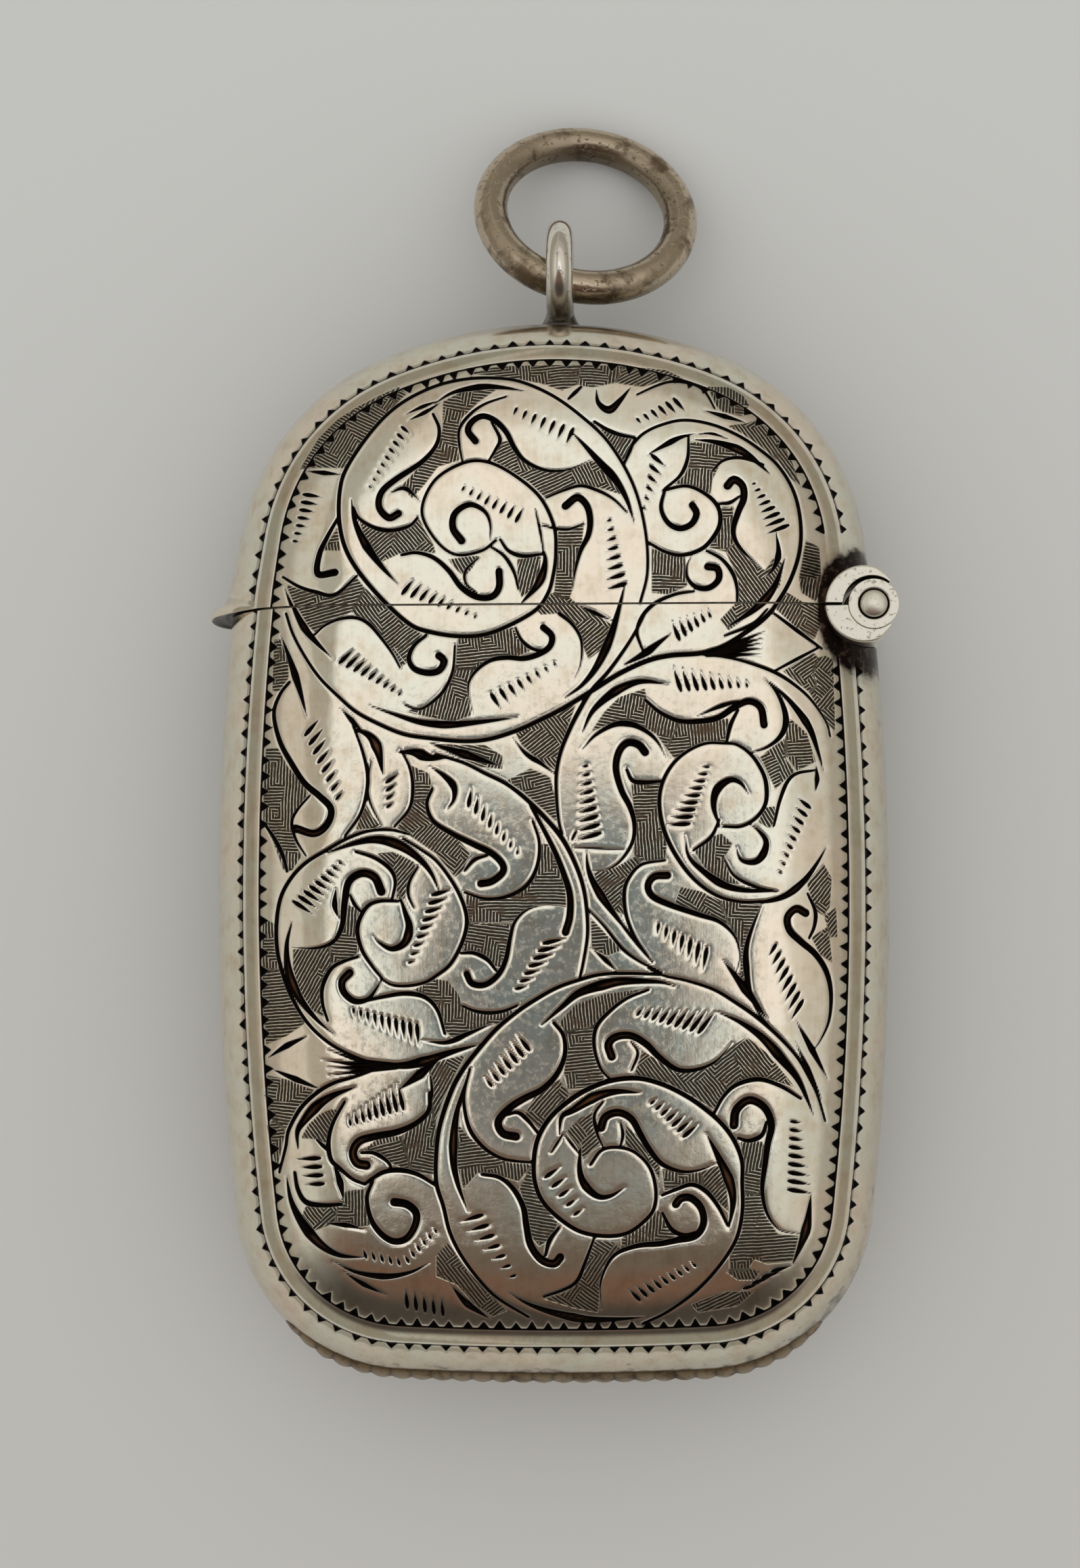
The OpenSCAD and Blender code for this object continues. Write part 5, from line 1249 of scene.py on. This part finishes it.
def addEdge(part, body, nodeName, side, outer):
    sheet, (cx, cy, r) = case["sheet"], case["notch"]
    share = (outer[:, 0] / np.abs(outer[0, 0]) + 1) / 2
    x = sideX(seamOf(part), sheet) * (2 * share - 1)
    inner = np.stack([x, np.full_like(x, seamOf(part))], 1)
    z = roll(inset(inner[:, 0], inner[:, 1])[0], sheet)[0]
    inner = np.concatenate([inner, (case["mid"] + side * z)[:, None]], 1)
    strip = np.stack([outer, seamEdge["share"] * outer + (1 - seamEdge["share"]) * inner, inner])
    # Painted shade on the seam's edge
    sootAndShade = np.array(seamEdge[part])[:, None] + np.zeros(len(x))
    inside = (np.hypot(strip[..., 0] - cx, strip[..., 1] - cy) < r - tiny).ravel()
    faces = gridFaces(3, len(x))
    faces = faces[~inside[faces].any(1)]
    addMesh(part + "Edge" + ("Front" if side > 0 else "Back"), strip, faces, plainSilver, body, [nodeName],
            None, {"grimeAndShade": sootAndShade}, (side < 0) == (part == "body"))


# The body's front is held as two pieces, to keep each one light
def addShell(part, body, nodeName):
    rows = {}
    for side, step in ((1, skin["step"]), (-1, skin["backStep"])):
        face = "Front" if side > 0 else "Back"
        points, faces, normal, fields = shellSkin(part, side, step, max(step, skin["rimStep"]))
        rows[side] = points[-1 if part == "body" else 0]
        halves = ("Lower", "Upper") if part == "body" and side > 0 else ("",)
        row = faces[:, 0] // points.shape[1]
        for half, band in zip(halves, np.array_split(np.arange(len(points) - 1), len(halves))):
            held = faces[(row >= band[0]) & (row <= band[-1])]
            addMesh(part + face + half, points, held, engravedSilver, body, [nodeName],
                    normal, fields, side < 0)
        step = skin["insideStep"]
        points, faces, normal, _ = shellSkin(part, side, step, step / 2, case["sheet"])
        addMesh(part + "Inside" + face, points, faces, plainSilver, body, [nodeName],
                normal, None, side > 0)
    for side, outer in rows.items():
        addEdge(part, body, nodeName, side, outer)


addShell("body", "case", "body_shell")
addShell("lid", "lid", "lid_shell")
print("shells in")

# Ring: a round wire ring, C + (R + r cos v)(cos u e1 + sin u e2) + r sin v n, darkened inside by tarnish and
# painted shade, and on the side towards the viewer by a painted dark reflection
ring = {"centre": (1.6454, 33.1299, 3.065), "normal": (.137569, .449967, .882386), "radius": 4.75,
        "wire": .83, "steps": (240, 48), "inside": .3, "nearSide": .45}


def frameOf(axis, upright=.9):
    n = unit(np.array(axis, float))
    e1 = unit(np.cross((0, 0, 1) if abs(n[2]) < upright else (0, 1, 0), n))
    return n, e1, np.cross(n, e1)


def turnOf(count):
    return np.linspace(0, 2 * np.pi, count, endpoint=False)


def torus(t):
    n, e1, e2 = frameOf(t["normal"])
    u, v = (a[..., None] for a in np.meshgrid(*(turnOf(count) for count in t["steps"]), indexing="ij"))
    out = np.cos(u) * e1 + np.sin(u) * e2
    normal = np.cos(v) * out + np.sin(v) * n
    points = np.array(t["centre"]) + t["radius"] * out + t["wire"] * normal
    return points, gridFaces(*t["steps"], True, True), normal


def addRing(r):
    points, faces, normal = torus(r)
    # Tarnish and painted shade inside the ring, a painted dark reflection on the side towards the viewer
    inside = np.clip(-np.cos(turnOf(r["steps"][1])), 0, 1)
    sootAndShade = r["inside"] * inside + r["nearSide"] * np.clip(-normal[..., 1], 0, 1) ** 2
    addMesh("chainRing", points, faces, tarnishedSilver, "ring", ["ring"], None,
            {"grimeAndShade": np.clip(sootAndShade, 0, 1)})


addRing(ring)

# Loop: a round wire loop standing on the crown, on a foot whose flare runs out of the wire by an arc of
# radius R = (f^2 + h^2) / 2f, f wide and h tall, and closes by a low dome inside the wire. Both are darkened
# low down by a painted dark reflection (share, fade)
loop = {"centre": (.42, 29.48, 5.3), "normal": (1, 0, 0), "radius": 2, "wire": .65, "steps": (128, 40),
        "shadeTop": 28.9, "sootAndShade": (.6, 1.5)}
loopFoot = {"place": (.42, 26.83, 5.3), "low": -.25, "radius": 1.05, "neck": .65, "tall": 1.05, "dome": .22,
            "steps": (16, 9), "sootAndShade": (.8, 4)}


# A profile of (radius, height) turned round an axis; a closed profile comes back to its start
def lathe(profile, axis, place, around=96, closed=False):
    r, h = np.array(profile, float).T
    n, e1, e2 = frameOf(axis)
    u = turnOf(around)[:, None, None]
    points = np.array(place) + r[:, None] * (np.cos(u) * e1 + np.sin(u) * e2) + h[:, None] * n
    return points, gridFaces(around, len(r), True, closed)


def addLoop(l, f):
    points, faces, _ = torus(l)
    # Painted dark reflection on the wire below shadeTop
    share, fade = l["sootAndShade"]
    sootAndShade = share * np.clip((l["shadeTop"] - points[..., 1]) / fade, 0, 1)
    addMesh("loop", points, faces, plainSilver, "lid", ["suspension_loop"], None,
            {"grimeAndShade": sootAndShade})
    wide, (rows, domeRows) = f["radius"] - f["neck"], f["steps"]
    arc = (wide ** 2 + f["tall"] ** 2) / (2 * wide)
    h = np.linspace(0, f["tall"], rows)
    r = f["neck"] + arc - np.sqrt(arc ** 2 - (f["tall"] - h) ** 2)
    a = np.linspace(0, np.pi / 2, domeRows)[1:]
    dome = np.stack([f["neck"] * np.cos(a), f["tall"] + f["dome"] * np.sin(a)], 1)
    profile = np.concatenate([[(f["radius"], f["low"])], np.stack([r, h], 1), dome])
    points, faces = lathe(profile, (0, 1, 0), f["place"])
    # Painted dark reflection on the foot, most at its bottom
    share, fade = f["sootAndShade"]
    sootAndShade = np.broadcast_to(np.clip(share - profile[:, 1] / fade, 0, 1), points.shape[:2])
    addMesh("loopFoot", points, faces, plainSilver, "lid", ["suspension_loop"], None,
            {"grimeAndShade": sootAndShade}, weld=True)


addLoop(loop, loopFoot)
print("loop and ring in")

# Hinge: knuckles and pin are turned about the axis; each leaf is a rounded bar carried round it, between the
# knuckle and the boss's circle, whose radius from the axis is -e cos a + sqrt(R^2 - e^2 sin^2 a). Leaves are
# given by angles in degrees and inner radii at both ends, and run out thin towards their ends.
hinge = {"axis": (15.07, 12.5), "low": .5, "high": 10.1, "boss": 1.82, "off": .45, "knuckle": 1.18,
         "bore": .69, "pin": .64, "dome": .2, "lidKnuckle": (3.7, 6.9), "gap": .05, "sink": .1, "soft": .03,
         "bevel": .1, "bevelShare": .45, "hold": (1.4, 1.1), "bodyLeaf": (180, 310), "lidLeaf": (180, 54),
         "bodyIn": (1.19, 1.19), "lidIn": (1.44, 1.27), "lidWeb": (1.21, 1.5), "free": 9,
         "thin": (1.04, .3, .6), "leafSteps": 60, "pinSteps": 14, "around": (72, 64),
         "sootAndShade": .95, "shadeDeep": 1.3, "shadeLean": .7, "sunkShare": .6, "shadeEnd": .005}


# A bar's section from low to high with rounded corners: how far each point lies from the near or the far wall
def barSection(low, high, near, far):
    a = np.linspace(0, np.pi / 2, 5)
    n, f = ([np.concatenate([[0, 0], b * (1 - np.cos(a)), [1.5 * b]]),
             np.concatenate([high - b - np.array(hinge["hold"]), high - b * (1 - np.sin(a)), [high]])]
            for b in (near, far))
    off, z = np.append(n[0], f[0][::-1]), np.append(n[1], f[1][::-1])
    isFar = np.arange(len(off)) >= len(n[0])
    return np.append(off, off[::-1]), np.append(isFar, isFar[::-1]), np.append(z, (low + high - z)[::-1])


def addKnuckle(name, low, high, body, nodeName):
    h = hinge
    off, isFar, z = barSection(low, high, h["sink"], h["soft"])
    profile = np.stack([np.where(isFar, h["knuckle"] - off, h["bore"] + off), z], 1)
    points, faces = lathe(profile, (0, 0, 1), (*h["axis"], 0), h["around"][0], True)
    x, y = np.moveaxis(points[..., :2] - h["axis"], -1, 0)
    # Painted shade in the gaps: on the outer wall towards the lid near the front, and in the sunk ring round
    # the pin
    hidden = (y > 0) & (x < h["shadeLean"] * y) & (z > h["high"] - h["shadeDeep"])
    sootAndShade = h["sootAndShade"] * np.where(isFar, (off < tiny) & hidden, off < h["sunkShare"] * h["sink"])
    addMesh(name, points, faces, scuffedSilver, body, [nodeName], None, {"grimeAndShade": sootAndShade})


def addLeaf(name, ends, inner, outer, low, high, body, nodeName):
    h, (start, end) = hinge, np.radians(ends)
    share = np.concatenate([[0, .01], np.linspace(.02, .98, h["leafSteps"]), [.99, 1]])
    r0, side = inner[0] + share * (inner[1] - inner[0]), np.sign(end - start)

    def angles(r):
        first = start + side * np.arcsin(h["gap"] / r)
        return first + share * (end - first)

    a0, a1 = angles(inner[0]), angles(h["off"] + h["boss"])
    r1 = -h["off"] * np.cos(a1) + np.sqrt(h["boss"] ** 2 - (h["off"] * np.sin(a1)) ** 2)
    last, long, power = h["thin"]
    r1 = r0 + (np.minimum(r1, outer) - r0) * np.clip((last - share) / long, 0, 1) ** power
    near, far = r0[:, None] * direction(a0), r1[:, None] * direction(a1)
    off, isFar, z = barSection(low, high, h["soft"], h["bevel"])
    thick = np.linalg.norm(far - near, axis=1)[:, None]
    step = unit(far - near)[:, None] * (off * np.minimum(1, h["bevelShare"] * thick / off.max()))[..., None]
    flat = np.where(isFar[:, None], far[:, None] - step, near[:, None] + step) + h["axis"]
    points = np.concatenate([flat, np.broadcast_to(z, flat.shape[:2])[..., None]], -1)
    n, m = flat.shape[:2]
    k = np.arange(m // 2 - 1)
    cap = np.stack([k, k + 1, m - 2 - k, m - 1 - k], 1)
    faces = np.concatenate([gridFaces(n, m, False, True), cap[:, ::-1], cap + (n - 1) * m])
    # Painted shade at the leaf's end by the knuckle and on its near wall in the gap
    inGap = ~isFar & (off < tiny) & (side < 0) & (z > h["high"] - h["shadeDeep"])
    sootAndShade = h["sootAndShade"] * ((share[:, None] < h["shadeEnd"]) | inGap)
    addMesh(name, points, faces, scuffedSilver, body, [nodeName], None, {"grimeAndShade": sootAndShade},
            side < 0)


def addHinge(h):
    low, high = h["lidKnuckle"]
    addKnuckle("frontKnuckle", high + h["gap"], h["high"], "case", "front_knuckle")
    addKnuckle("rearKnuckle", h["low"], low - h["gap"], "case", "rear_knuckle")
    addKnuckle("lidKnuckle", low, high, "lid", "lid_knuckle")
    a = np.linspace(0, np.pi / 2, h["pinSteps"])
    dome = np.stack([h["pin"] * np.cos(a), h["high"] + h["dome"] * np.sin(a)], 1)
    profile = np.concatenate([(dome * (1, -1) + (0, h["low"] + h["high"]))[::-1], dome])
    points, faces = lathe(profile, (0, 0, 1), (*h["axis"], 0), h["around"][1])
    addMesh("hingePin", points, faces, scuffedSilver, "case", ["hinge_pin"], weld=True)
    addLeaf("bodyLeaf", h["bodyLeaf"], h["bodyIn"], h["free"], h["low"], h["high"], "case", "body_hinge_leaf")
    addLeaf("lidLeaf", h["lidLeaf"], h["lidIn"], h["free"], h["low"], h["high"], "lid", "lid_hinge_leaf")
    r0, r1 = h["lidWeb"]
    addLeaf("lidWeb", h["lidLeaf"], (r0, r0), r1, low, high, "lid", "lid_hinge_leaf")


addHinge(hinge)
print("hinge in")


# Distance in from the outline where the edge roll stands h from mid thickness
def insetAt(h):
    p = case["rollPower"]
    return case["rollIn"] * (1 - (1 - (np.abs(h) / case["mid"]) ** p) ** (1 / p))


# Thumb lip: a profile (out, up) carried round the lid's side, whose reach falls off as (1 - (h / half)^2)^.7;
# its height keeps a share of itself at the ends. Painted shadow lies under it, and tarnish in the hollow
# (height, fall, most).
lip = {"out": .72, "half": 4, "power": .7, "keep": .2, "steps": 97, "curveStep": .05,
       "under": (.05, .92, .8), "hollow": (.8, 4, .4),
       "profile": [(-.06, 1.5), (.02, 1.05), (.1, .78), (.28, .6), (.58, .49), (.86, .38), (1, .18),
                   (1, -.02), (.9, -.14), (.7, -.15), (.4, -.03), (-.06, .02)]}


def addLip(l):
    h = l["half"] * np.sin(np.linspace(-1, 1, l["steps"]) * np.pi / 2)
    reach = (1 - (h / l["half"]) ** 2)[:, None] ** l["power"]
    p = curve(l["profile"], l["curveStep"])
    out = np.where(p[:, 0] > 0, p[:, 0] * l["out"] * reach, p[:, 0])
    y = case["lidFoot"] + p[:, 1] * np.where(p[:, 1] > 0, l["keep"] + (1 - l["keep"]) * reach, reach)
    d = insetAt(h)[:, None] + np.zeros_like(y)
    x = -sideX(y, d)
    points = np.stack([x - flareAt(x, y, d) - out, y, case["mid"] + h[:, None] + np.zeros_like(y)], -1)
    # Painted shadow under the lip, tarnish in its hollow
    (low, wide, share), (middle, fall, most) = l["under"], l["hollow"]
    sootAndShade = share * ((p[:, 1] < low) & (p[:, 0] < wide))
    sootAndShade = np.clip(np.clip(1 - fall * np.abs(p[:, 1] - middle), 0, most) + sootAndShade, 0, 1) * reach
    plain = np.full_like(out, drawing["far"])
    addMesh("thumbLip", points, gridFaces(*out.shape, False, True), engravedSilver, "lid", ["thumb_lip"],
            None, {"grimeAndShade": sootAndShade, "cut": plain, "ground": plain}, weld=True)


addLip(lip)

# Striker: a strip round the base, filed across into low round teeth: rise = t + a |sin(pi s / pitch)|. Its
# teeth fall off across it, its edges sink into the case and its ends taper. Painted shade lies along the
# edges where they sink (full, fall, most); it is darker outside the middle (start, share) and in the valleys.
striker = {"pitch": .95, "teeth": 28, "strip": .15, "tooth": .14, "half": 2.3, "seat": .03, "taper": 2.4,
           "taperPower": .6, "edgePower": 14, "sunk": .12, "toothFall": .75, "stepsPerTooth": 14,
           "across": 25, "measures": 4000, "edgeShade": (1.2, 4, .7), "outerDark": (.5, .3),
           "valleyDark": .6, "valleyFall": .5}


def addStriker(k):
    count = k["teeth"] * k["stepsPerTooth"] + 1
    s = (np.linspace(0, 1, count) - .5) * k["teeth"] * k["pitch"]
    flat = np.linspace(-np.pi / 2, turns[2], k["measures"])
    a = np.interp(np.abs(s), lengths(outline(flat)), flat)
    v = np.sin(np.linspace(-1, 1, k["across"]) * np.pi / 2)
    edge = np.sqrt(np.clip(1 - np.abs(v) ** k["edgePower"], 0, 1))
    wave = np.abs(np.sin(np.pi * s / k["pitch"]))[:, None]
    tooth = wave * (1 - k["toothFall"] * v ** 2)
    ends = np.clip((s[-1] - np.abs(s)) / k["taper"], 0, 1)[:, None] ** k["taperPower"]
    out = (k["seat"] + k["strip"] + k["tooth"] * tooth) * ends * edge - k["sunk"] * (1 - edge)
    base = outline(a)[:, None] + (out - insetAt(k["half"] * v))[..., None] * direction(a)[:, None]
    base = base * np.stack([np.where(s < 0, -1, 1), np.ones_like(s)], 1)[:, None]
    z = np.broadcast_to(case["mid"] + k["half"] * v, out.shape)
    points = np.concatenate([base, z[..., None]], -1)
    # Painted shade along the edges, darker outside the middle and in the valleys
    (full, fall, most), (start, outer) = k["edgeShade"], k["outerDark"]
    valley = k["valleyDark"] * (1 - wave) ** 2
    sootAndShade = np.clip(full - fall * edge, 0, most) + outer * (np.abs(v) > start)
    sootAndShade = sootAndShade + valley * (1 - k["valleyFall"] * v ** 2)
    addMesh("striker", points, gridFaces(*out.shape), brownedSilver, "case", ["base_striker"],
            None, {"grimeAndShade": np.clip(sootAndShade, 0, 1)}, True)


addStriker(striker)
print("lip and striker in")

# Inner rim: the collar that the lid closes over shows its CAD mesh, in polished silver
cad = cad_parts["inner_rim"]
cad.data.materials.clear()
cad.data.materials.append(plainSilver)
